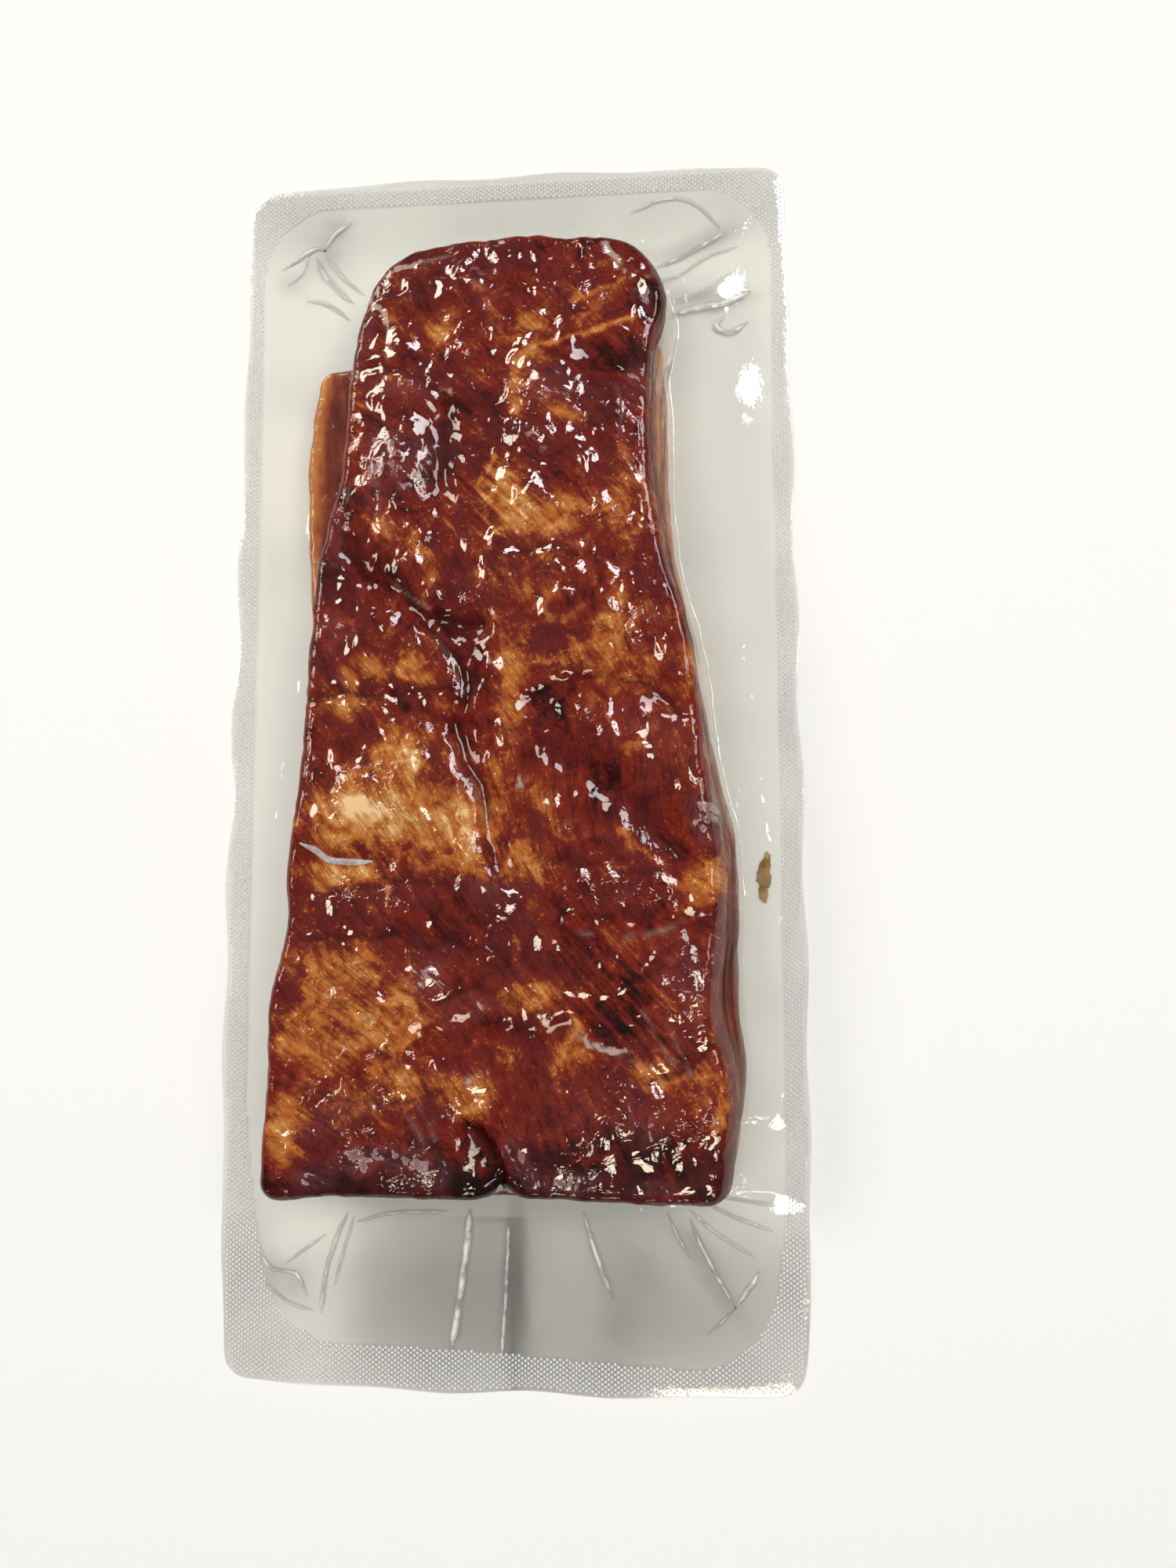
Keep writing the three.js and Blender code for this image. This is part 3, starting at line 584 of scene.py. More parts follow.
def underside(ring, points, slab, rows, columns, count):
    """Strips that close a slab below, from its left border to its right one."""
    inner = 4
    right = ring[columns - 1:columns - 1 + rows]
    back_left = 2 * columns + rows - 3
    left = np.concatenate([[ring[0]], ring[:back_left:-1][:rows - 2], [ring[back_left]]])
    share = np.arange(1, inner + 1) / (inner + 1)
    a, b = points[left[1:-1]], points[right[1:-1]]
    spots = a[:, None, :] * (1 - share[None, :, None]) + b[:, None, :] * share[None, :, None]
    spots[..., 2] = slab["bottom"](spots[..., 0], spots[..., 1])
    numbers = count + np.arange((rows - 2) * inner).reshape(rows - 2, inner)
    table = np.column_stack([left[1:-1], numbers, right[1:-1]])
    quads = np.stack([table[:-1, :-1], table[1:, :-1], table[1:, 1:], table[:-1, 1:]], -1).reshape(-1, 4)
    every = np.concatenate([points, spots.reshape(-1, 3)])
    front = np.concatenate([ring[:columns], table[0][::-1]])
    back = np.concatenate([ring[columns + rows - 2:back_left + 1], table[-1]])
    return [quads, filled_below(every, [front, back])], spots.reshape(-1, 3)


def filled_below(points, outlines):
    """Triangles that fill closed lines of point numbers, all facing down."""
    triangles = []
    for outline in outlines:
        flat = [Vector((p[0], p[1], 0)) for p in points[outline]]
        triangles += [[outline[i] for i in triple] for triple in tessellate_polygon([flat])]
    triangles = np.array(triangles)
    a, b, c = (points[triangles[:, k]] for k in range(3))
    wrong = np.cross(b - a, c - a)[:, 2] > 0
    triangles[wrong] = triangles[wrong][:, ::-1]
    return triangles


def meat_values(points, seed):
    """How fat and torn the upper slab is at each point, how its fibres run, where it is pale or carries
    painted glare, and where painted sheen and painted crease shade lie.
    """
    x, y, z = points.T
    # The outlines of the patches wander by up to 5 mm, and those of the seams less
    wavy_x = x + 5 * grain(x, y, 12, seed + 21, 5, 0.62)
    wavy_y = y + 5 * grain(x, y, 12, seed + 22, 5, 0.62)
    fat = np.clip(blobs(FAT_PATCHES, wavy_x, wavy_y, 1.2), 0, 1.3)
    for seam in FAT_SEAMS:
        fat = np.maximum(fat, grooves([seam], x + 0.4 * (wavy_x - x), y + 0.4 * (wavy_y - y)))
    # The tone patches hold painted shade in pits and clefts; lean is darkest along the front edge
    tone = blobs(TONE_AND_SHADE_PATCHES, wavy_x, wavy_y) - 0.7 * smoothstep(-y, 122, 138)
    lean = 0.35 + 0.3 * tone + 0.12 * grain(x, y, 14, seed + 24, 4, 0.6)
    fatness = lean * (1 - 0.62 * np.clip(fat, 0, 1)) + 0.58 * fat
    lifted_film_sheen = blobs(LIFTED_SHEEN_PATCHES, wavy_x, wavy_y, 1.5) * (0.75 + 0.5 * grain(x, y, 4, seed + 25, 3))
    pale_and_glare = blobs(PALE_AND_GLARE_PATCHES, wavy_x, wavy_y, 1.3) * (0.8 + 0.5 * grain(x, y, 2.2, seed + 26, 2))
    side = smoothstep(-z, -27, -15)
    along, across = fibre_lines(x, y, seed)
    # Painted shade in the creases, and faintly in the clefts
    crease_shade = 0.6 * grooves(CREASES, *wavering(x, y, seed), 0.55) + 0.06 * grooves(CLEFTS, x, y, 0.7)
    return {
        "crease_shade": np.clip(crease_shade, 0, 1),
        "stringy": 0.22 + 0.3 * bell(np.hypot(x + 8, y - 80) / 20),
        "torn_muscle": blobs(TORN_MUSCLE, x, y),
        "along_fibres": along * MM,
        "across_fibres": across * MM,
        "fatness": np.clip(fatness - 0.12 * side, 0, 1.1),
        "lifted_film_sheen": np.clip(lifted_film_sheen * (1 - side), 0, 1),
        "pale_and_glare": np.clip(pale_and_glare * (1 - side), 0, 1),
    }


def put(tree, kind, inputs=None, stops=(), **settings):
    """Adds one node with its settings, a ramp's (place, sRGB hex) stops, and its inputs' values or links."""
    made = tree.nodes.new(kind)
    for key, value in settings.items():
        setattr(made, key, value)
    for place, _ in stops[2:]:
        made.color_ramp.elements.new(place)
    for k, (place, code) in enumerate(stops):
        made.color_ramp.elements[k].position = place
        made.color_ramp.elements[k].color = linear(code)
    for key, value in (inputs or {}).items():
        if isinstance(value, bpy.types.Node):
            value = next(socket for socket in value.outputs if socket.enabled)
        if isinstance(value, bpy.types.NodeSocket):
            tree.links.new(value, made.inputs[key])
        else:
            made.inputs[key].default_value = value
    return made


def new_material(name):
    """Empty node material and its tree."""
    material = bpy.data.materials.new(name)
    material.use_nodes = True
    material.node_tree.nodes.clear()
    return material, material.node_tree


def smoked_bacon(settings):
    """Cured and smoked pork belly, rib side: oily lean like mahogany, amber fat, pale gristle."""
    material, tree = new_material("smoked_bacon")
    place = put(tree, "ShaderNodeTexCoord").outputs["Object"]
    fatness, lifted_film_sheen, pale_and_glare, along, across, stringy, torn_muscle, crease_shade = (
        put(tree, "ShaderNodeAttribute", attribute_name=name).outputs["Fac"] for name in (
            "fatness", "lifted_film_sheen", "pale_and_glare", "along_fibres", "across_fibres", "stringy", "torn_muscle", "crease_shade"))

    # Muscle fibres are about 0.9 mm thick and 6 mm long, bundles 3.6 mm thick, strings of torn muscle 1.8 mm
    # by 30 mm. Chips of painted sheen and splits run the same way, each drawn out by its share
    fibre_wise = []
    for share in (0.16, 0.06, 0.5, 0.4):
        drawn_out = put(tree, "ShaderNodeMath", {0: along, 1: share}, operation="MULTIPLY")
        fibre_wise.append(put(tree, "ShaderNodeCombineXYZ", {0: drawn_out, 1: across}))
    # Marbling breaks the edge between lean and fat at 1 to 8 mm. Each pattern has its size in millimetres
    fibres, bundles, strings, marbling, flecks, blotches, chips, seams = (
        put(tree, "ShaderNodeTexNoise", {
            "Vector": vector, "Scale": 1 / (size * MM), "Detail": detail, "Roughness": rough,
            "Distortion": swirl})
        for vector, size, detail, rough, swirl in (
            (fibre_wise[0], 0.9, 3, 0.6, 0), (fibre_wise[0], 3.6, 3, 0.55, 0),
            (fibre_wise[1], 1.8, 2, 0.5, 0), (place, 8, 7, 0.6, 0.8), (place, 1.2, 3, 0.6, 0),
            (place, 25, 4, 0.6, 0), (fibre_wise[2], 3, 5, 0.62, 1.2), (fibre_wise[3], 7, 4, 0.6, 0.8)))

    level = fatness
    for pattern, share in ((marbling, 1.0), (bundles, 0.5), (fibres, stringy), (strings, torn_muscle)):
        swing = put(tree, "ShaderNodeMath", {0: pattern, 1: 0.5}, operation="SUBTRACT")
        level = put(tree, "ShaderNodeMath", {0: swing, 1: share, 2: level}, operation="MULTIPLY_ADD")
    flecked = put(tree, "ShaderNodeMapRange", {
        "Value": flecks, "From Min": 0.56, "From Max": 0.68, "To Max": 0.17}, interpolation_type="SMOOTHSTEP")
    level = put(tree, "ShaderNodeMath", {0: level, 1: flecked})
    colour = put(tree, "ShaderNodeValToRGB", {"Fac": level}, stops=[
        (0.0, "#120302"), (0.17, "#380A05"), (0.33, settings.lean_colour), (0.48, "#7C2816"),
        (0.58, "#954722"), (0.7, settings.fat_colour), (0.86, "#D0965A"), (1.0, "#F1CC9A")])

    # Painted sheen: lit lilac chips and unlit dark gaps where the film stands off the meat and mirrors its
    # surroundings
    chipped = put(tree, "ShaderNodeMath", {0: chips, 1: 0.5}, operation="SUBTRACT")
    lit = put(tree, "ShaderNodeMath", {0: chipped, 1: 3.0, 2: lifted_film_sheen}, operation="MULTIPLY_ADD")
    unlit = put(tree, "ShaderNodeMath", {0: chipped, 1: -3.0, 2: lifted_film_sheen}, operation="MULTIPLY_ADD")
    gristle_and_glare = put(tree, "ShaderNodeMath", {0: chipped, 1: 1.2, 2: pale_and_glare}, operation="MULTIPLY_ADD")
    seam = put(tree, "ShaderNodeMath", {0: seams, 1: 0.5}, operation="SUBTRACT")
    seam = put(tree, "ShaderNodeMath", {0: seam}, operation="ABSOLUTE")
    # Each share follows a value smoothly: from low to high it goes from the first share to the second
    blotch, lean_only, gap, sheen_chip, outer, inner, pale_glare_share, crack = (
        put(tree, "ShaderNodeMapRange", {
            "Value": value, "From Min": low, "From Max": high, "To Min": first, "To Max": second},
            interpolation_type="SMOOTHSTEP")
        for value, low, high, first, second in (
            (blotches, 0.42, 0.62, 0.0, 0.6), (level, 0.42, 0.66, 1.0, 0.0), (unlit, 0.65, 1.0, 0.0, 0.6),
            (lit, 0.8, 0.88, 0.0, 0.75), (lit, 0.78, 0.84, 0.0, 0.55), (lit, 0.88, 0.96, 0.0, 0.55),
            (gristle_and_glare, 0.45, 0.9, 0.0, 0.7), (seam, 0.0, 0.02, 0.55, 0.0)))
    mauve = put(tree, "ShaderNodeMath", {0: blotch, 1: lean_only}, operation="MULTIPLY")
    painted_sheen = put(tree, "ShaderNodeMath", {0: lifted_film_sheen, 1: 0.4}, operation="MULTIPLY")
    sheen_chip_rim = put(tree, "ShaderNodeMath", {0: outer, 1: inner}, operation="SUBTRACT")
    crease_shade_and_cracks = put(tree, "ShaderNodeMath", {0: crease_shade, 1: crack}, operation="MAXIMUM")
    crease_shade_and_cracks = put(tree, "ShaderNodeMath", {0: crease_shade_and_cracks, 1: 0.85}, operation="MULTIPLY")
    # Lean turns mauve where smoke colour is thin over wet muscle, in blotches about 25 mm across. Where the
    # film just leaves the meat, a painted sheen of its reflected surroundings shows in lilac chips 1 to 4 mm
    # across, with light rims and painted dark gaps between them. Rib ends are pale, partly with painted
    # glare.
    # Narrow dark splits run with the fibres; painted shade darkens the creases and, faintly, the clefts
    # between the muscles
    for share, code in ((mauve, "#5C1D20"), (painted_sheen, "#8A5257"), (gap, "#260A0C"), (sheen_chip, "#9A737C"),
                        (sheen_chip_rim, "#DCC8C4"), (pale_glare_share, "#D0B8AC"), (crease_shade_and_cracks, "#1C0403")):
        colour = put(tree, "ShaderNodeMix", {0: share, 6: colour, 7: linear(code)}, data_type="RGBA")

    bumps = put(tree, "ShaderNodeBump", {"Height": fibres, "Distance": 0.0004, "Strength": 0.5})
    bumps = put(tree, "ShaderNodeBump", {
        "Height": marbling, "Distance": 0.0009, "Strength": 0.4, "Normal": bumps})
    skin = put(tree, "ShaderNodeBsdfPrincipled", {
        "Base Color": colour, "Roughness": 0.5, "IOR": 1.4, "Specular IOR Level": 0.08, "Normal": bumps})
    put(tree, "ShaderNodeOutputMaterial", {"Surface": skin})
    return material


def smoked_rind():
    """Smoked rind and back fat at the cut edge of the layer below: orange brown, streaked along the edge."""
    material, tree = new_material("smoked_rind")
    place = put(tree, "ShaderNodeTexCoord").outputs["Object"]
    along = put(tree, "ShaderNodeMapping", {"Vector": place, "Scale": (1.0, 0.22, 1.0)})
    shade = put(tree, "ShaderNodeAttribute", attribute_name="tone").outputs["Fac"]
    # Streaks are 2.4 mm wide, drawn out along the edge, over a mottle of 7 mm
    for vector, size, detail, share in ((place, 7, 6, 0.6), (along, 2.4, 5, 0.7)):
        pattern = put(tree, "ShaderNodeTexNoise", {
            "Vector": vector, "Scale": 1 / (size * MM), "Detail": detail, "Roughness": 0.6})
        swing = put(tree, "ShaderNodeMath", {0: pattern, 1: 0.5}, operation="SUBTRACT")
        shade = put(tree, "ShaderNodeMath", {0: swing, 1: share, 2: shade}, operation="MULTIPLY_ADD")
    colour = put(tree, "ShaderNodeValToRGB", {"Fac": shade}, stops=[
        (0.0, "#430F06"), (0.3, "#74260A"), (0.55, "#A0501A"), (0.8, "#BA742E"), (1.0, "#D29C54")])
    bumps = put(tree, "ShaderNodeBump", {"Height": pattern, "Distance": 0.0004, "Strength": 0.5})
    skin = put(tree, "ShaderNodeBsdfPrincipled", {
        "Base Color": colour, "Roughness": 0.4, "IOR": 1.45, "Specular IOR Level": 0.4, "Normal": bumps})
    put(tree, "ShaderNodeOutputMaterial", {"Surface": skin})
    return material


def vacuum_film():
    """Clear polyamide and polythene laminate, drawn down warm: glossy and crinkled.

    Its pulled ridges over the meat carry painted white highlights, and the flat film painted grey shade.
    """
    material, tree = new_material("vacuum_film")
    place = put(tree, "ShaderNodeTexCoord").outputs["Object"]
    crinkled, painted_film_shade, ridge_highlight, free_face, shine = (
        put(tree, "ShaderNodeAttribute", attribute_name=name).outputs["Fac"]
        for name in ("crinkled", "painted_film_shade", "ridge_highlight", "free_face", "shine"))
    # Crinkles of the drawn film are 1.5 to 4 mm across
    coarse = put(tree, "ShaderNodeTexNoise", {
        "Vector": place, "Scale": 1 / (3.4 * MM), "Detail": 2, "Roughness": 0.5, "Distortion": 1.2})
    height = put(tree, "ShaderNodeMath", {0: coarse, 1: crinkled}, operation="MULTIPLY")
    normal = put(tree, "ShaderNodeBump", {"Height": height, "Distance": 0.001, "Strength": 1.0})
    # Painted shade greys the clear part of the flat film
    tint = put(tree, "ShaderNodeMix", {0: painted_film_shade, 6: linear("#FFFFFD"), 7: linear("#C8C8C6")}, data_type="RGBA")
    clear = put(tree, "ShaderNodeBsdfTransparent", {"Color": tint})
    ridge_highlight_white = put(tree, "ShaderNodeBsdfDiffuse", {"Color": linear("#E6E2DC"), "Normal": normal})
    body = put(tree, "ShaderNodeMixShader", {0: ridge_highlight, 1: clear, 2: ridge_highlight_white})
    gloss = put(tree, "ShaderNodeBsdfGlossy", {
        "Color": linear("#FFFBF2"), "Roughness": 0.04, "Normal": normal})
    # Both faces of a thin film reflect, almost a tenth straight on and more aslant; wet meat takes the inner
    # one away
    aslant = put(tree, "ShaderNodeLayerWeight", {"Blend": 0.5, "Normal": normal}).outputs["Facing"]
    aslant = put(tree, "ShaderNodeMath", {0: aslant, 1: 5.0}, operation="POWER")
    faces = put(tree, "ShaderNodeMath", {0: free_face, 1: 0.7}, operation="MULTIPLY")
    mirror = put(tree, "ShaderNodeMath", {0: aslant, 1: faces}, operation="MULTIPLY")
    mirror = put(tree, "ShaderNodeMath", {0: shine, 1: 0.09, 2: mirror},
                 operation="MULTIPLY_ADD", use_clamp=True)
    surface = put(tree, "ShaderNodeMixShader", {0: mirror, 1: body, 2: gloss})
    put(tree, "ShaderNodeOutputMaterial", {"Surface": surface})
    return material


def patterned_skin(name, size, detail, rough, stops, finish):
    """Principled skin coloured by one noise of a size in millimetres."""
    material, tree = new_material(name)
    place = put(tree, "ShaderNodeTexCoord").outputs["Object"]
    pattern = put(tree, "ShaderNodeTexNoise", {
        "Vector": place, "Scale": 1 / (size * MM), "Detail": detail, "Roughness": rough})
    colour = put(tree, "ShaderNodeValToRGB", {"Fac": pattern}, stops=stops)
    skin = put(tree, "ShaderNodeBsdfPrincipled", {"Base Color": colour, **finish})
    put(tree, "ShaderNodeOutputMaterial", {"Surface": skin})
    return material


def trapped_air():
    """Air and a little fat caught in a fold of film: cloudy white."""
    return patterned_skin("trapped_air", 1.6, 4, 0.6, [(0.3, "#A99C9C"), (0.6, "#D8D2D0"), (0.8, "#F2EFEC")],
                          {"Roughness": 0.25, "IOR": 1.45, "Specular IOR Level": 0.6, "Alpha": 0.6})


def meat_juice():
    """Brown brine and smoke juice between the two webs of film."""
    return patterned_skin("meat_juice", 4, 4, 0.6, [(0.35, "#A06C22"), (0.6, "#BE9450"), (0.75, "#DCC48C")],
                          {"Roughness": 0.2, "IOR": 1.34, "Alpha": 0.45})


def studio_paper():
    """Seamless white paper: matt, with a faint tooth of 0.8 mm."""
    return patterned_skin("studio_paper", 0.8, 2, 0.55, [(0.0, "#F4F4F3"), (1.0, "#F8F8F7")],
                          {"Roughness": 0.95, "Specular IOR Level": 0.1})


def heat_seal():
    """Knurled heat seal: the two webs melted into one, frosted by the dots of the seal bar."""
    material, tree = new_material("heat_seal")
    clear = put(tree, "ShaderNodeBsdfTransparent", {"Color": linear("#F8F8F6")})
    frost = put(tree, "ShaderNodeBsdfDiffuse", {"Color": linear("#F4F3F0")})
    gloss = put(tree, "ShaderNodeBsdfGlossy", {"Color": linear("#FFFEFA"), "Roughness": 0.2})
    body = put(tree, "ShaderNodeMixShader", {0: 0.06, 1: clear, 2: frost})
    surface = put(tree, "ShaderNodeMixShader", {0: 0.14, 1: body, 2: gloss})
    put(tree, "ShaderNodeOutputMaterial", {"Surface": surface})
    return material


def folded_film():
    """Film doubled over in a sharp pleat: clear and glossier than a single web, with a painted white
    highlight on its crest.
    """
    material, tree = new_material("folded_film")
    crest_highlight = put(tree, "ShaderNodeAttribute", attribute_name="crest_highlight").outputs["Fac"]
    clear = put(tree, "ShaderNodeBsdfTransparent", {"Color": linear("#F6F6F5")})
    frost = put(tree, "ShaderNodeBsdfDiffuse", {"Color": linear("#FCFBF8")})
    gloss = put(tree, "ShaderNodeBsdfGlossy", {"Color": linear("#FFFCF5"), "Roughness": 0.08})
    # The painted highlight shows white only in stretches of 3 to 8 mm
    place = put(tree, "ShaderNodeTexCoord").outputs["Object"]
    stretches = put(tree, "ShaderNodeTexNoise", {
        "Vector": place, "Scale": 1 / (6 * MM), "Detail": 3, "Roughness": 0.55})
    stretches = put(tree, "ShaderNodeMapRange", {
        "Value": stretches, "From Min": 0.38, "From Max": 0.58, "To Min": 0.3},
        interpolation_type="SMOOTHSTEP")
    crest_highlight = put(tree, "ShaderNodeMath", {0: crest_highlight, 1: stretches}, operation="MULTIPLY")
    crest_white_share, glossy = (put(tree, "ShaderNodeMath", {0: crest_highlight, 1: share}, operation="MULTIPLY")
                     for share in (0.8, 0.08))
    body = put(tree, "ShaderNodeMixShader", {0: crest_white_share, 1: clear, 2: frost})
    surface = put(tree, "ShaderNodeMixShader", {0: glossy, 1: body, 2: gloss})
    put(tree, "ShaderNodeOutputMaterial", {"Surface": surface})
    return material


def finish_piece(piece, material, slot, *nodes):
    """Gives a piece its material and body, and hides the nodes that it stands for; its slot is not used."""
    piece.data.materials.clear()
    piece.data.materials.append(material)
    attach(piece, "root")
    if nodes:
        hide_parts(*nodes)


UPPER_ROWS = 330
UPPER_COLUMNS = 160
UPPER_RINGS = 22
LOWER_ROWS = 160
LOWER_COLUMNS = 60
LOWER_RINGS = 14


class PACK_OT_upper_slab(bpy.types.Operator):
    """Builds the upper slab of bacon, rib side up"""

    bl_idname = "pack.upper_slab"
    bl_label = "Upper slab"

    def execute(self, context):
        settings = context.scene.bacon_pack
        points, faces = slab_points(
            UPPER, UPPER_ROWS, UPPER_COLUMNS, UPPER_RINGS, lambda x, y: fine_relief(x, y, settings.seed))
        slab = make_mesh("bacon_rib_side", points, faces, meat_values(points, settings.seed))
        finish_piece(slab, smoked_bacon(settings), "bacon", "bacon_upper")
        return {"FINISHED"}


class PACK_OT_lower_slab(bpy.types.Operator):
    """Builds the wider layer of bacon below, whose rind edge shows"""

    bl_idname = "pack.lower_slab"
    bl_label = "Lower slab"

    def execute(self, context):
        settings = context.scene.bacon_pack
        seed = settings.seed + 50
        points, faces = slab_points(
            LOWER, LOWER_ROWS, LOWER_COLUMNS, LOWER_RINGS, lambda x, y: 0.35 * grain(x, y, 9, seed, 3) - 0.35)
        x, y = points.T[:2]
        # The edge is amber at the back, most of all along its rim at the left, and brown at the front
        brown = 0.2
        back_left = smoothstep(y, 20, 44) * smoothstep(-x, 0, 20)
        back_right = smoothstep(y, 5, 25) * smoothstep(x, 0, 20)
        rim = 0.72 - 0.45 * smoothstep(x - through(LOWER_SIDES, 1, y), 3, 7)
        tone = brown + (rim - brown) * back_left + 0.4 * back_right + 0.15 * grain(x, y, 10, seed + 1, 3)
        slab = make_mesh("bacon_rind_layer", points, faces, {"tone": np.clip(tone, 0, 1)})
        finish_piece(slab, smoked_rind(), "rind_layer", "bacon_lower")
        return {"FINISHED"}


def bag_outline(count):
    """Edge of the bag as a closed anticlockwise line of points."""
    half_x, half_y = BAG_WIDTH / 2 - BULGE_SIDE, BAG_LENGTH / 2 - BULGE_END
    corners = np.array([(half_x, -half_y), (half_x, half_y), (-half_x, half_y), (-half_x, -half_y)])
    bulges = [(BULGE_SIDE, 0.55), (BULGE_END, 1.2), (BULGE_SIDE, 1.8), (BULGE_END, 0.9)]
    points = []
    for k, (bulge, late) in enumerate(bulges):
        start, end = corners[k], corners[(k + 1) % 4]
        length = np.linalg.norm(end - start)
        along = (end - start) / length
        out = np.array([along[1], -along[0]])
        t = np.linspace(0, 1, count)
        ripple = EDGE_RIPPLE * np.sin(2 * math.pi * length / RIPPLE_LENGTH * t) * np.sin(math.pi * t)
        push = (bulge - EDGE_RIPPLE) * np.sin(math.pi * t ** late) + ripple
        place = BAG_CORNER + (length - 2 * BAG_CORNER) * t
        points.append(start + along * place[:, None] + out * push[:, None])
        centre = end - (along + out) * BAG_CORNER
        angle = math.atan2(out[1], out[0]) + np.linspace(0, math.pi / 2, 10)[1:-1]
        points.append(centre + BAG_CORNER * np.column_stack([np.cos(angle), np.sin(angle)]))
    line = np.concatenate(points)
    low, high = line.min(0), line.max(0)
    return ((line - low) / (high - low) - 0.5) * [BAG_WIDTH, BAG_LENGTH]


def reach_of(starts, directions, outline):
    """Distance from each start along its direction to a closed outline."""
    ends = np.roll(outline, -1, 0)
    span = ends - outline
    reach = np.full(len(starts), np.inf)
    batch, parallel, slack = 200, 1e-12, 1e-9
    for k in range(0, len(starts), batch):
        s, d = starts[k:k + batch, None, :], directions[k:k + batch, None, :]
        gap = outline[None] - s
        cross = d[..., 0] * span[None, :, 1] - d[..., 1] * span[None, :, 0]
        cross = np.where(np.abs(cross) < parallel, parallel, cross)
        t = (gap[..., 0] * span[None, :, 1] - gap[..., 1] * span[None, :, 0]) / cross
        u = (gap[..., 0] * d[..., 1] - gap[..., 1] * d[..., 0]) / cross
        hit = np.where((u >= -slack) & (u <= 1 + slack) & (t > 0), t, np.inf)
        reach[k:k + batch] = hit.min(1)
    return reach


def inside(outline, x, y, margin):
    """Whether each place lies in a closed outline and at least a margin from it."""
    ends = np.roll(outline, -1, 0)
    within = np.zeros(np.shape(x), bool)
    for (ax, ay), (bx, by) in zip(outline, ends):
        if ay != by:
            crosses = (ay > y) != (by > y)
            within ^= crosses & (x < (bx - ax) * (y - ay) / (by - ay) + ax)
    return within & (distance_to([*outline, outline[0]], x, y) > margin)


def heights_of(contents, x, y):
    """Height of the contents' upper surface at each place, 0 beside them, in millimetres."""
    trees = []
    for piece in contents:
        mesh = piece.data
        co = np.empty(len(mesh.vertices) * 3)
        mesh.vertices.foreach_get("co", co)
        corners = [tuple(p.vertices) for p in mesh.polygons]
        trees.append(BVHTree.FromPolygons([Vector(c) for c in co.reshape(-1, 3)], corners))
    down = Vector((0, 0, -1))
    found = np.zeros(x.size)
    for i, (px, py) in enumerate(zip(x.ravel() * MM, y.ravel() * MM)):
        for tree in trees:
            hit = tree.ray_cast(Vector((px, py, ABOVE_PACK)), down)[0]
            if hit is not None:
                found[i] = max(found[i], hit.z / MM)
    return found.reshape(x.shape)


def widest(values, reach):
    """Largest value within a number of grid steps, both ways."""
    best = values.copy()
    for axis in (0, 1):
        spread = best.copy()
        for step in range(1, reach + 1):
            for way in (step, -step):
                moved = np.roll(best, way, axis)
                edge = [slice(None), slice(None)]
                edge[axis] = slice(0, step) if way > 0 else slice(-step, None)
                moved[tuple(edge)] = best[tuple(edge)]
                spread = np.maximum(spread, moved)
        best = spread
    return best


def blurred(values, passes):
    """Grid smoothed a number of times, with its border kept."""
    for _ in range(passes):
        inner = values[1:-1, 1:-1]
        inner = 0.5 * inner + 0.125 * (
            values[:-2, 1:-1] + values[2:, 1:-1] + values[1:-1, :-2] + values[1:-1, 2:])
        values = values.copy()
        values[1:-1, 1:-1] = inner
    return values


STROKE_LENGTHS = 1.4, 5.2
STROKE_WIDTHS = 1.2, 2.6
STROKE_HEIGHTS = 0.35, 1.0
STROKE_REACH = 8


def strokes(x, y, count, seed):
    """Short curved ridges of drawn film on a plan grid: 1 at the crest of the tallest, 0 between them."""
    draw = np.random.default_rng(seed)
    height = np.zeros(x.shape)
    ys = y[:, x.shape[1] // 2]
    for _ in range(count):
        cy = draw.uniform(ys[0], ys[-1])
        row = int(np.searchsorted(ys, cy))
        cx = draw.uniform(x[min(row, len(ys) - 1), 0], x[min(row, len(ys) - 1), -1])
        long, wide = draw.uniform(*STROKE_LENGTHS), draw.uniform(*STROKE_WIDTHS)
        # Strokes near each other run nearly the same way
        flow = grain(np.array([cx]), np.array([cy]), 34, seed + 5, 2)[0]
        angle = 1.2 + 4.5 * flow + draw.normal(0, 0.45)
        bend, high = draw.normal(0, 0.09), draw.uniform(*STROKE_HEIGHTS)
        rows = slice(*np.searchsorted(ys, [cy - STROKE_REACH, cy + STROKE_REACH]))
        dx, dy = x[rows] - cx, y[rows] - cy
        u = dx * math.cos(angle) + dy * math.sin(angle)
        v = dy * math.cos(angle) - dx * math.sin(angle) + bend * u * u
        height[rows] = np.maximum(height[rows], high * np.exp(-(u / long) ** 4 - (v / wide) ** 2))
    return height


def crinkles(x, y, seed):
    """Fine pulled wrinkles of the film over the meat, from 0 up."""
    wavy_x = x + 3 * grain(x, y, 16, seed + 61, 2)
    wavy_y = y + 3 * grain(x, y, 16, seed + 62, 2)
    ridges = 1 - np.abs(grain(wavy_x, wavy_y, 7.5, seed + 63, 2))
    small = 1 - np.abs(grain(wavy_x * 1.6, wavy_y, 4.2, seed + 64, 2))
    patchy = 0.55 + 0.45 * grain(x, y, 22, seed + 65, 2)
    # Only the sharp crests of both patterns stand up
    return ((np.clip(ridges - 0.72, 0, 1) / 0.28) ** 1.5 * patchy
            + 0.6 * (np.clip(small - 0.78, 0, 1) / 0.22) ** 1.5)


def in_clefts(x, y, least):
    """1 away from the clefts, falling to the least value in them, where the film is stretched smooth."""
    nearest = np.min([distance_to(line, x, y) / (1.6 * wide) for wide, _, line in CLEFTS], axis=0)
    return 1 - (1 - least) * bell(nearest)


def film_lift(x, y, turn, away):
    """Height of the flat film off the table: waves at the edge and soft swells."""
    wave = 0.5 + 0.5 * np.sin(turn * EDGE_WAVES)
    height = EDGE_LIFT * wave * away ** 2
    return height + blobs(SWELLS, x, y) * smoothstep(away, 0, 0.3)


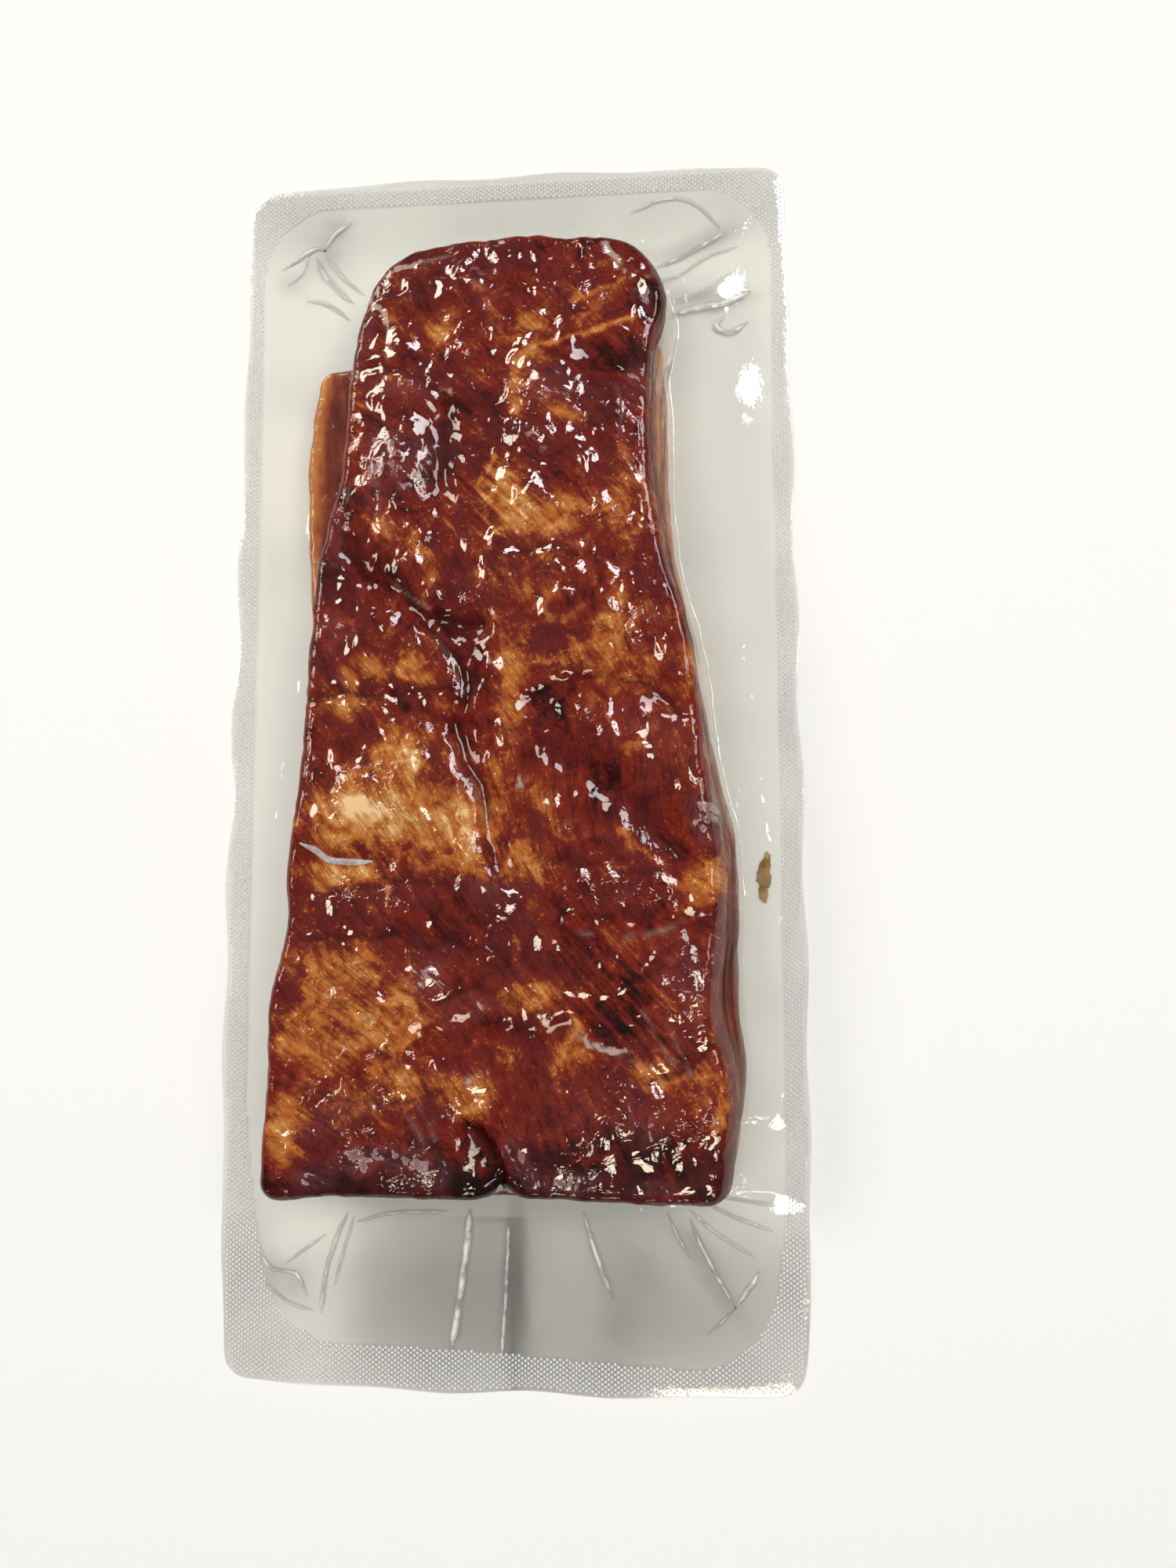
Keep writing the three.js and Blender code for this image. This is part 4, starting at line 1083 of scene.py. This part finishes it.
def film_values(points, top_count, seed):
    """Crinkle, painted ridge highlight, painted shade and shine at each point; the first ones lie over the
    meat.
    """
    x, y, z = points.T
    on_top = np.arange(len(points)) < top_count
    flat = smoothstep(-z, -6, -3)
    clusters = (0.12 + 0.9 * np.clip(grain(x, y, 17, seed + 84, 3), 0, 1)) * in_clefts(x, y, 0.25)
    crinkled = np.where(on_top, clusters, 0.28 * (1 - flat) + 0.1 * flat)
    free_face = np.where(on_top, 0.3, 0.3 + 0.7 * flat)
    shine = np.where(on_top, in_clefts(x, y, 0.4), 0.45 + 0.55 * flat)
    # Painted white highlights along the ridges of pulled film over the meat
    ridge_highlight = np.zeros(len(points))
    broken = np.clip(0.5 + 0.9 * grain(x, y, 3.2, seed + 82, 2), 0, 1)
    for wide, _, line in RIDGES:
        ridge_highlight = np.maximum(ridge_highlight, 0.14 * broken * bell(distance_to(line, x, y) / (wide * 0.9)) * on_top)
    # Painted grey shade of the flat film, darker at the front and at the creased corners
    film_shade = blobs(FILM_SHADE_PATCHES, x, y, 2) + 0.06 * grain(x, y, 30, seed + 81, 2)
    return {"crinkled": crinkled, "ridge_highlight": ridge_highlight, "free_face": free_face, "shine": shine,
            "painted_film_shade": np.clip(film_shade, 0, 1) * flat}


FILM_STROKES = 560
SIDE_RINGS = 30
SIDE_STEP = 0.7
BORDER_RINGS = 11
RIM = 0.3
TENT_SLOPE = 8
WEB_GAP = 0.12
# The film fans out from the slab's middle line up to this far each way, and may lift this far from the slab
SPINE = 112
FLAT_FROM = 12


def over_meat(x, y, settings):
    """Height of the film that clings to the rib side: it bridges the narrowest pits, and is wrinkled."""
    seed = settings.seed
    meat = UPPER["top"](x, y) + fine_relief(x, y, seed)
    bridged = -widest(-widest(meat, 1), 1)
    drawn = np.maximum(blurred(bridged, 3), meat) + settings.film_gap / MM
    ridges = 1.9 * strokes(x, y, FILM_STROKES, seed + 70) * in_clefts(x, y, 0.35)
    ridges = ridges + 0.3 * crinkles(x, y, seed)
    broken = 0.8 + 0.5 * grain(x, y, 4, seed + 71, 2)
    for wide, high, line in RIDGES:
        ridges = np.maximum(ridges, 1.7 * high * broken * bell(distance_to(line, x, y) / wide))
    return drawn + settings.wrinkle_height / MM * ridges


def film_rays(border):
    """Rays from the middle line through the slab's border: start, way, reach of slab and of bag, turn."""
    start = np.column_stack([np.zeros(len(border)), np.clip(border[:, 1], -SPINE, SPINE)])
    way = border - start
    inner = np.linalg.norm(way, axis=1)[:, None]
    way /= inner
    edge = reach_of(start, way, bag_outline(200))[:, None]
    turn = np.arctan2(border[:, 1] / BAG_LENGTH, border[:, 0] / BAG_WIDTH)[:, None]
    return start, way, inner, edge, turn


def on_rays(rays, reach):
    """Places at each reach along the rays, one ray a row, and how far flat film lifts there: x, y, lift."""
    start, way, inner, edge, turn = rays
    x, y = start[:, :1] + way[:, :1] * reach, start[:, 1:] + way[:, 1:] * reach
    away = np.clip((reach - inner - FLAT_FROM) / np.maximum(edge - inner, 1), 0, 1)
    return x, y, film_lift(x, y, turn, away)


def tented(profile, distance):
    """Film stretched over profiles, one a row: it falls no steeper than its slope, and is smoothed."""
    fall = TENT_SLOPE * np.abs(distance[:, None] - distance[None, :])
    tent = np.maximum(np.max(profile[:, None, :] - fall[None], axis=2), 0)
    for _ in range(2):
        tent = np.maximum(tent, 0.5 * tent + 0.25 * (np.roll(tent, 1, 0) + np.roll(tent, -1, 0)))
    beyond = np.column_stack([tent[:, 2:], tent[:, -1:]])
    return np.maximum(tent[:, 1:], 0.25 * tent[:, :-1] + 0.5 * tent[:, 1:] + 0.25 * beyond)


class PACK_OT_film_bag(bpy.types.Operator):
    """Builds the bag: an upper web drawn over the meat and a lower web, sealed at the edge"""

    bl_idname = "pack.film_bag"
    bl_label = "Film bag"

    def execute(self, context):
        settings = context.scene.bacon_pack
        contents = [bpy.data.objects["bacon_rib_side"], bpy.data.objects["bacon_rind_layer"]]
        x, y = slab_plan(UPPER, UPPER_ROWS, UPPER_COLUMNS)
        drawn = over_meat(x, y, settings)
        loop = loop_of(UPPER_ROWS, UPPER_COLUMNS)
        rays = film_rays(np.column_stack([x.ravel()[loop], y.ravel()[loop]]))
        inner, edge = rays[2:4]

        # Down the sides of the meat
        side = np.arange(1, SIDE_RINGS + 1) * SIDE_STEP
        reach = inner + side[None, :]
        side_x, side_y, lift = on_rays(rays, reach)
        profile = np.column_stack([drawn.ravel()[loop], heights_of(contents, side_x, side_y)])
        wrinkled = settings.wrinkle_height / MM * crinkles(side_x, side_y, settings.seed)
        slack = settings.film_gap / MM + 0.3 * smoothstep(side, 0, 6)[None, :]
        slack = slack + wrinkled * smoothstep(side, 0, 4)[None, :]
        side_z = np.maximum(tented(profile, np.concatenate([[0], side])) + slack, WEB_GAP * 2 + lift)

        # Out over the flat film to the sealed edge
        foot = reach[:, -1:]
        run = edge - RIM - foot
        share = np.linspace(0, 1, BORDER_RINGS)[1:] ** 1.15
        flat_x, flat_y, lift = on_rays(rays, np.column_stack([foot + run * share[None, :], edge]))
        flat_z = WEB_GAP * 2 + lift
        flat_z[:, -1] -= WEB_GAP

        # Back below along the lower web
        share = np.array([0.0, 0.15, 0.4, 0.7, 1.0])
        web_x, web_y, lift = on_rays(rays, edge - RIM - run * share[None, :])
        web_z = np.maximum(lift - WEB_GAP, 0)

        rings = np.stack([np.hstack([side_x, flat_x, web_x]), np.hstack([side_y, flat_y, web_y]),
                          np.hstack([side_z, flat_z, web_z])], 2)
        points = [np.column_stack([x.ravel(), y.ravel(), drawn.ravel()])]
        faces = [grid_quads(UPPER_ROWS, UPPER_COLUMNS)]
        previous, count = loop, x.size
        for ring in rings.transpose(1, 0, 2):
            points.append(ring)
            current = count + np.arange(len(loop))
            faces.append(ring_quads(previous, current))
            previous, count = current, count + len(loop)
        points = np.concatenate(points)
        faces.append(filled_below(points, [previous]))
        bag = make_mesh("film_bag", points, faces, film_values(points, x.size, settings.seed))
        finish_piece(bag, vacuum_film(), "film", "vacuum_bag")
        return {"FINISHED"}


def sealed_zone(x, y):
    """Whether a place lies in the knurled seal round the pocket."""
    radius = 25
    left = -88 + 8 * smoothstep(-y, 110, 190)
    right = 88.5 - 5 * smoothstep(-y, 140, 195)
    front = -190 - 5 * smoothstep(x, -60, 80)
    back = 195.5
    plain_strip = 201.5
    dx = np.maximum(np.maximum(left + radius - x, x - right + radius), 0)
    dy = np.maximum(np.maximum(front + radius - y, y - back + radius), 0)
    return (np.hypot(dx, dy) > radius) & (y < plain_strip)


def knurl_tree():
    """Geometry Nodes that set one blunt four-sided dot on each point of the seal."""
    tree = bpy.data.node_groups.new("seal_knurl", "GeometryNodeTree")
    sockets = {
        name: tree.interface.new_socket(name=name, in_out="INPUT", socket_type="NodeSocket" + kind).identifier
        for name, kind in (("Points", "Geometry"), ("Width", "Float"), ("Height", "Float"),
                           ("Tilt", "Vector"), ("Seed", "Int"), ("Material", "Material"))}
    tree.interface.new_socket(name="Dots", in_out="OUTPUT", socket_type="NodeSocketGeometry")
    given = put(tree, "NodeGroupInput").outputs
    foot, tip = (put(tree, "ShaderNodeMath", {0: given["Width"], 1: share}, operation="MULTIPLY")
                 for share in (0.5, 0.16))
    dot = put(tree, "GeometryNodeMeshCone", {
        "Vertices": 4, "Radius Bottom": foot, "Radius Top": tip, "Depth": given["Height"]})
    lowest = put(tree, "ShaderNodeVectorMath", {0: given["Tilt"], "Scale": -1.0}, operation="SCALE")
    turn = put(tree, "FunctionNodeRandomValue", {
        0: lowest, 1: given["Tilt"], "Seed": given["Seed"]}, data_type="FLOAT_VECTOR")
    dots = put(tree, "GeometryNodeInstanceOnPoints", {
        "Points": given["Points"], "Instance": dot, "Rotation": turn})
    real = put(tree, "GeometryNodeRealizeInstances", {"Geometry": dots})
    skinned = put(tree, "GeometryNodeSetMaterial", {"Geometry": real, "Material": given["Material"]})
    put(tree, "NodeGroupOutput", {"Dots": skinned})
    return tree, sockets


class PACK_OT_seal_knurl(bpy.types.Operator):
    """Sets the dots of the heat seal on the border of the bag"""

    bl_idname = "pack.seal_knurl"
    bl_label = "Seal knurl"

    def execute(self, context):
        settings = context.scene.bacon_pack
        pitch = settings.knurl_pitch / MM
        # Dots stand in staggered rows, wider apart across the bag than along it
        step_x, step_y = pitch * 1.6, pitch * 0.6
        rows = np.arange(-BAG_LENGTH / 2, BAG_LENGTH / 2, step_y)
        columns = np.arange(-BAG_WIDTH / 2, BAG_WIDTH / 2, step_x)
        x, y = np.meshgrid(columns, rows)
        x = x + step_x / 2 * (np.arange(len(rows)) % 2)[:, None]
        outline = bag_outline(60)
        kept = sealed_zone(x, y) & inside(outline, x, y, margin=1.0)
        x, y = x[kept], y[kept]
        z = heights_of([bpy.data.objects["film_bag"]], x, y)
        points = np.column_stack([x, y, z])
        seeds = make_mesh("seal_knurl", points, [])
        tree, sockets = knurl_tree()
        modifier = seeds.modifiers.new("knurl", "NODES")
        modifier.node_group = tree
        modifier[sockets["Width"]] = settings.knurl_pitch * 0.92
        modifier[sockets["Height"]] = settings.knurl_height
        modifier[sockets["Tilt"]] = (0.16, 0.16, 0.1)
        modifier[sockets["Seed"]] = settings.seed
        modifier[sockets["Material"]] = heat_seal()
        evaluated = seeds.evaluated_get(context.evaluated_depsgraph_get())
        dots = bpy.data.meshes.new_from_object(evaluated)
        seeds.modifiers.clear()
        seeds.data = dots
        finish_piece(seeds, dots.materials[0], "film")
        return {"FINISHED"}


FOLD_STEP = 0.6
FOLD_COLUMNS = 9
FOLD_REACH = 1.8
FOLD_TAPER = 5
CREST_HIGHLIGHT_HEIGHT = 0.6


def ribbon(line, wide, high, seed):
    """Closed ridge along a smooth line: points with their lift over the film, and quads."""
    spots = np.asarray(line, float)
    length = np.concatenate([[0], np.cumsum(np.linalg.norm(np.diff(spots, axis=0), axis=1))])
    table = np.column_stack([length, spots])
    places = np.linspace(0, length[-1], max(4, int(length[-1] / FOLD_STEP)))
    x, y = through(table, 1, places), through(table, 2, places)
    along = np.column_stack([np.gradient(x), np.gradient(y)])
    along /= np.linalg.norm(along, axis=1)[:, None]
    sway = 0.5 * wide * grain(places, places * 0 + seed, 3.5, seed, 2)
    share = np.linspace(-FOLD_REACH, FOLD_REACH, FOLD_COLUMNS)
    ends = smoothstep(places, 0, FOLD_TAPER) * smoothstep(length[-1] - places, 0, FOLD_TAPER)
    offset = share[None, :] * wide * (0.35 + 0.65 * ends)[:, None] + sway[:, None]
    px = x[:, None] + along[:, 1:] * offset
    py = y[:, None] - along[:, :1] * offset
    uneven = 0.7 + 0.5 * grain(places, places * 0 + 9, 4.5, seed + 1, 2)
    lift = high * bell(share)[None, :] * (ends * uneven)[:, None] + 0.05
    rows, columns = px.shape
    count = rows * columns
    upper = grid_quads(rows, columns)
    loop = loop_of(rows, columns)
    points = np.concatenate([np.column_stack([px.ravel(), py.ravel(), lift.ravel()]),
                             np.column_stack([px.ravel(), py.ravel(), np.zeros(count)])])
    return points, np.concatenate([upper, upper[:, ::-1] + count, ring_quads(loop, loop + count)])


def lens(cx, cy, long, wide, turn, high, seed):
    """Closed flat drop with an uneven outline: points with their lift over the film, and quads."""
    rings, sides = 6, 40
    angle = np.linspace(0, 2 * math.pi, sides, endpoint=False)
    uneven = 1 + 0.45 * grain(3 * np.cos(angle), 3 * np.sin(angle), 1.6, seed, 3)
    c, s = math.cos(math.radians(turn)), math.sin(math.radians(turn))
    share = np.linspace(0.08, 1, rings)[:, None]
    u, v = share * long * (uneven * np.cos(angle))[None, :], share * wide * (uneven * np.sin(angle))[None, :]
    px, py = cx + u * c - v * s, cy + u * s + v * c
    lift = 0.06 + high * np.repeat(1 - share ** 2, sides, 1)
    points = np.concatenate([np.column_stack([px.ravel(), py.ravel(), lift.ravel()]),
                             np.column_stack([px[0], py[0], np.zeros(sides)])])
    ring = [np.arange(sides) + k * sides for k in range(rings)]
    under = np.arange(sides) + rings * sides
    quads = [ring_quads(ring[k], ring[k + 1]) for k in range(rings - 1)] + [ring_quads(ring[-1], under)]
    half = sides // 2
    across = np.arange(half - 1)
    cap = np.stack([across, across + 1, sides - 2 - across, sides - 1 - across], 1)
    quads += [cap, cap[:, ::-1] + rings * sides]
    return points, np.concatenate(quads)


def laid_on(name, shapes, carrier):
    """New object from shapes whose heights count from the carrier's upper surface."""
    points, faces, count = [], [], 0
    for spots, quads in shapes:
        points.append(spots)
        faces.append(quads + count)
        count += len(spots)
    points = np.concatenate(points)
    # A fold's crest carries a painted white highlight, full at this height
    x, y, crest_highlight = points[:, 0], points[:, 1], np.clip(points[:, 2] / CREST_HIGHLIGHT_HEIGHT, 0, 1)
    # Folds lose their painted crest highlight where the film is steep
    reach = 0.4
    fall_x = heights_of([carrier], x + reach, y) - heights_of([carrier], x - reach, y)
    fall_y = heights_of([carrier], x, y + reach) - heights_of([carrier], x, y - reach)
    crest_highlight *= 1 - 0.9 * smoothstep(np.hypot(fall_x, fall_y) / (2 * reach), 0.8, 2.2)
    points[:, 2] += heights_of([carrier], x, y)
    return make_mesh(name, points, [np.concatenate(faces)], {"crest_highlight": crest_highlight})


class PACK_OT_film_folds(bpy.types.Operator):
    """Adds the sharp tucks of the flat film and the pleats beside the slab"""

    bl_idname = "pack.film_folds"
    bl_label = "Film folds"

    def execute(self, context):
        seed = context.scene.bacon_pack.seed + 90
        bag = bpy.data.objects["film_bag"]
        tucks = [ribbon(line, wide, high, seed + k) for k, (wide, high, line) in enumerate(TUCKS)]
        ys = np.linspace(PLEATED_FROM, PLEATED_TO, 20)
        for k, (back, front, wide, high) in enumerate(PLEATS):
            offset = front + (back - front) * smoothstep(ys, PLEATED_FROM, PLEATED_TO)
            xs = through(UPPER_SIDES, 2, ys) + offset + 1.1 * grain(ys, ys * 0, 21, seed + k, 2)
            tucks.append(ribbon(np.column_stack([xs, ys]), wide, high, seed + 40 + k))
        folds = laid_on("film_folds", tucks, bag)
        finish_piece(folds, folded_film(), "film")
        return {"FINISHED"}


class PACK_OT_trapped_air(bpy.types.Operator):
    """Adds the air caught over the meat and the smear of juice between the webs"""

    bl_idname = "pack.trapped_air"
    bl_label = "Trapped air and juice"

    def execute(self, context):
        seed = context.scene.bacon_pack.seed + 120
        bag = bpy.data.objects["film_bag"]
        channels = [ribbon(line, wide, high, seed + k) for k, (wide, high, line) in enumerate(AIR_CHANNELS)]
        channels += [lens(*pocket, seed + 10 + k) for k, pocket in enumerate(AIR_POCKETS)]
        air = laid_on("trapped_air", channels, bag)
        finish_piece(air, trapped_air(), "film")
        drops = [lens(*drop, seed + 20 + k) for k, drop in enumerate(JUICE_DROPS)]
        juice = laid_on("juice_smear", drops, bag)
        finish_piece(juice, meat_juice(), "film")
        return {"FINISHED"}


class PACK_OT_stage(bpy.types.Operator):
    """Makes the paper floor, the soft lights and the camera"""

    bl_idname = "pack.stage"
    bl_label = "Stage"

    def execute(self, context):
        scene = context.scene
        scene.view_settings.view_transform = "Standard"
        half = 3.0
        corners = np.array([(-half, -half, 0), (half, -half, 0), (half, half, 0), (-half, half, 0)]) / MM
        just_below = 0.05
        corners[:, 2] -= just_below
        floor = make_mesh("paper_floor", corners, [np.array([[0, 1, 2, 3]])])
        floor.data.materials.append(studio_paper())

        world = bpy.data.worlds.new("studio")
        scene.world = world
        world.use_nodes = True
        world.node_tree.nodes["Background"].inputs["Color"].default_value = linear("#F4F3F8")
        world.node_tree.nodes["Background"].inputs["Strength"].default_value = 0.06

        # The overhead box and two lamps light the pack; the other lamps only show as glints in tilted film.
        # Name, place, size, power, colour, whether it lights and whether it is mirrored
        boxes = [
            ("box_overhead", (0.0, 0.1, 1.7), (2.2, 2.2), 31.0, "#FFFFFF", True, False),
            ("lamp_left", (-1.25, 0.3, 1.05), (0.6, 0.4), 6.8, "#FFF8EC", True, True),
            ("lamp_right", (0.85, 0.3, 1.15), (0.35, 0.45), 4.5, "#FFF8EC", True, True),
            ("glint_left_back", (-1.2, 1.45, 0.9), (0.9, 0.65), 19.0, "#FFF8EC", False, True),
            ("glint_right_back", (0.75, 0.95, 1.1), (0.75, 0.5), 13.0, "#F4F2FF", False, True),
            ("glint_front", (0.32, -1.2, 1.3), (0.65, 0.4), 8.3, "#FFF4E2", False, True),
        ]
        for name, place, size, power, colour, lights, mirrored in boxes:
            light = bpy.data.lights.new(name, "AREA")
            light.shape = "RECTANGLE"
            light.size, light.size_y = size
            light.energy = power
            light.color = linear(colour)[:3]
            lamp = bpy.data.objects.new(name, light)
            scene.collection.objects.link(lamp)
            lamp.visible_diffuse = lights
            lamp.visible_glossy = mirrored
            lamp.location = place
            lamp.rotation_euler = Vector(place).to_track_quat("Z", "Y").to_euler()

        eye, aim = Vector((0.0605, -0.0458, 0.387)), Vector((0.0259, -0.0097, 0.0))
        camera = bpy.data.cameras.new("camera")
        camera.lens = 27.04
        camera.sensor_width = 36
        camera.clip_start = 0.01
        view = bpy.data.objects.new("camera", camera)
        scene.collection.objects.link(view)
        back = (eye - aim).normalized()
        right = Vector((0, 1, 0)).cross(back).normalized()
        up = back.cross(right)
        roll = math.radians(-0.17)
        right, up = right * math.cos(roll) + up * math.sin(roll), up * math.cos(roll) - right * math.sin(roll)
        view.matrix_world = Matrix.Translation(eye) @ Matrix((right, up, back)).transposed().to_4x4()
        scene.camera = view
        return {"FINISHED"}


class PACK_PT_panel(bpy.types.Panel):
    """Buttons for each group of pieces"""

    bl_label = "Bacon Pack"
    bl_idname = "PACK_PT_panel"
    bl_space_type = "VIEW_3D"
    bl_region_type = "UI"
    bl_category = "Bacon Pack"

    def draw(self, context):
        settings = context.scene.bacon_pack
        for key in PackSettings.__annotations__:
            self.layout.prop(settings, key)
        for operator in OPERATORS:
            self.layout.operator(operator.bl_idname)


OPERATORS = (PACK_OT_upper_slab, PACK_OT_lower_slab, PACK_OT_film_bag, PACK_OT_seal_knurl, PACK_OT_film_folds,
             PACK_OT_trapped_air, PACK_OT_stage)
CLASSES = (PackSettings, *OPERATORS, PACK_PT_panel)


def register():
    """Registers the classes and the scene's settings."""
    for cls in CLASSES:
        bpy.utils.register_class(cls)
    bpy.types.Scene.bacon_pack = bpy.props.PointerProperty(type=PackSettings)


def unregister():
    """Removes the scene's settings and the classes."""
    del bpy.types.Scene.bacon_pack
    for cls in reversed(CLASSES):
        bpy.utils.unregister_class(cls)


def main():
    """Builds every piece in order."""
    register()
    bpy.ops.pack.upper_slab()
    bpy.ops.pack.lower_slab()
    bpy.ops.pack.film_bag()
    bpy.ops.pack.seal_knurl()
    bpy.ops.pack.film_folds()
    bpy.ops.pack.trapped_air()
    bpy.ops.pack.stage()


if __name__ == "__main__":
    main()
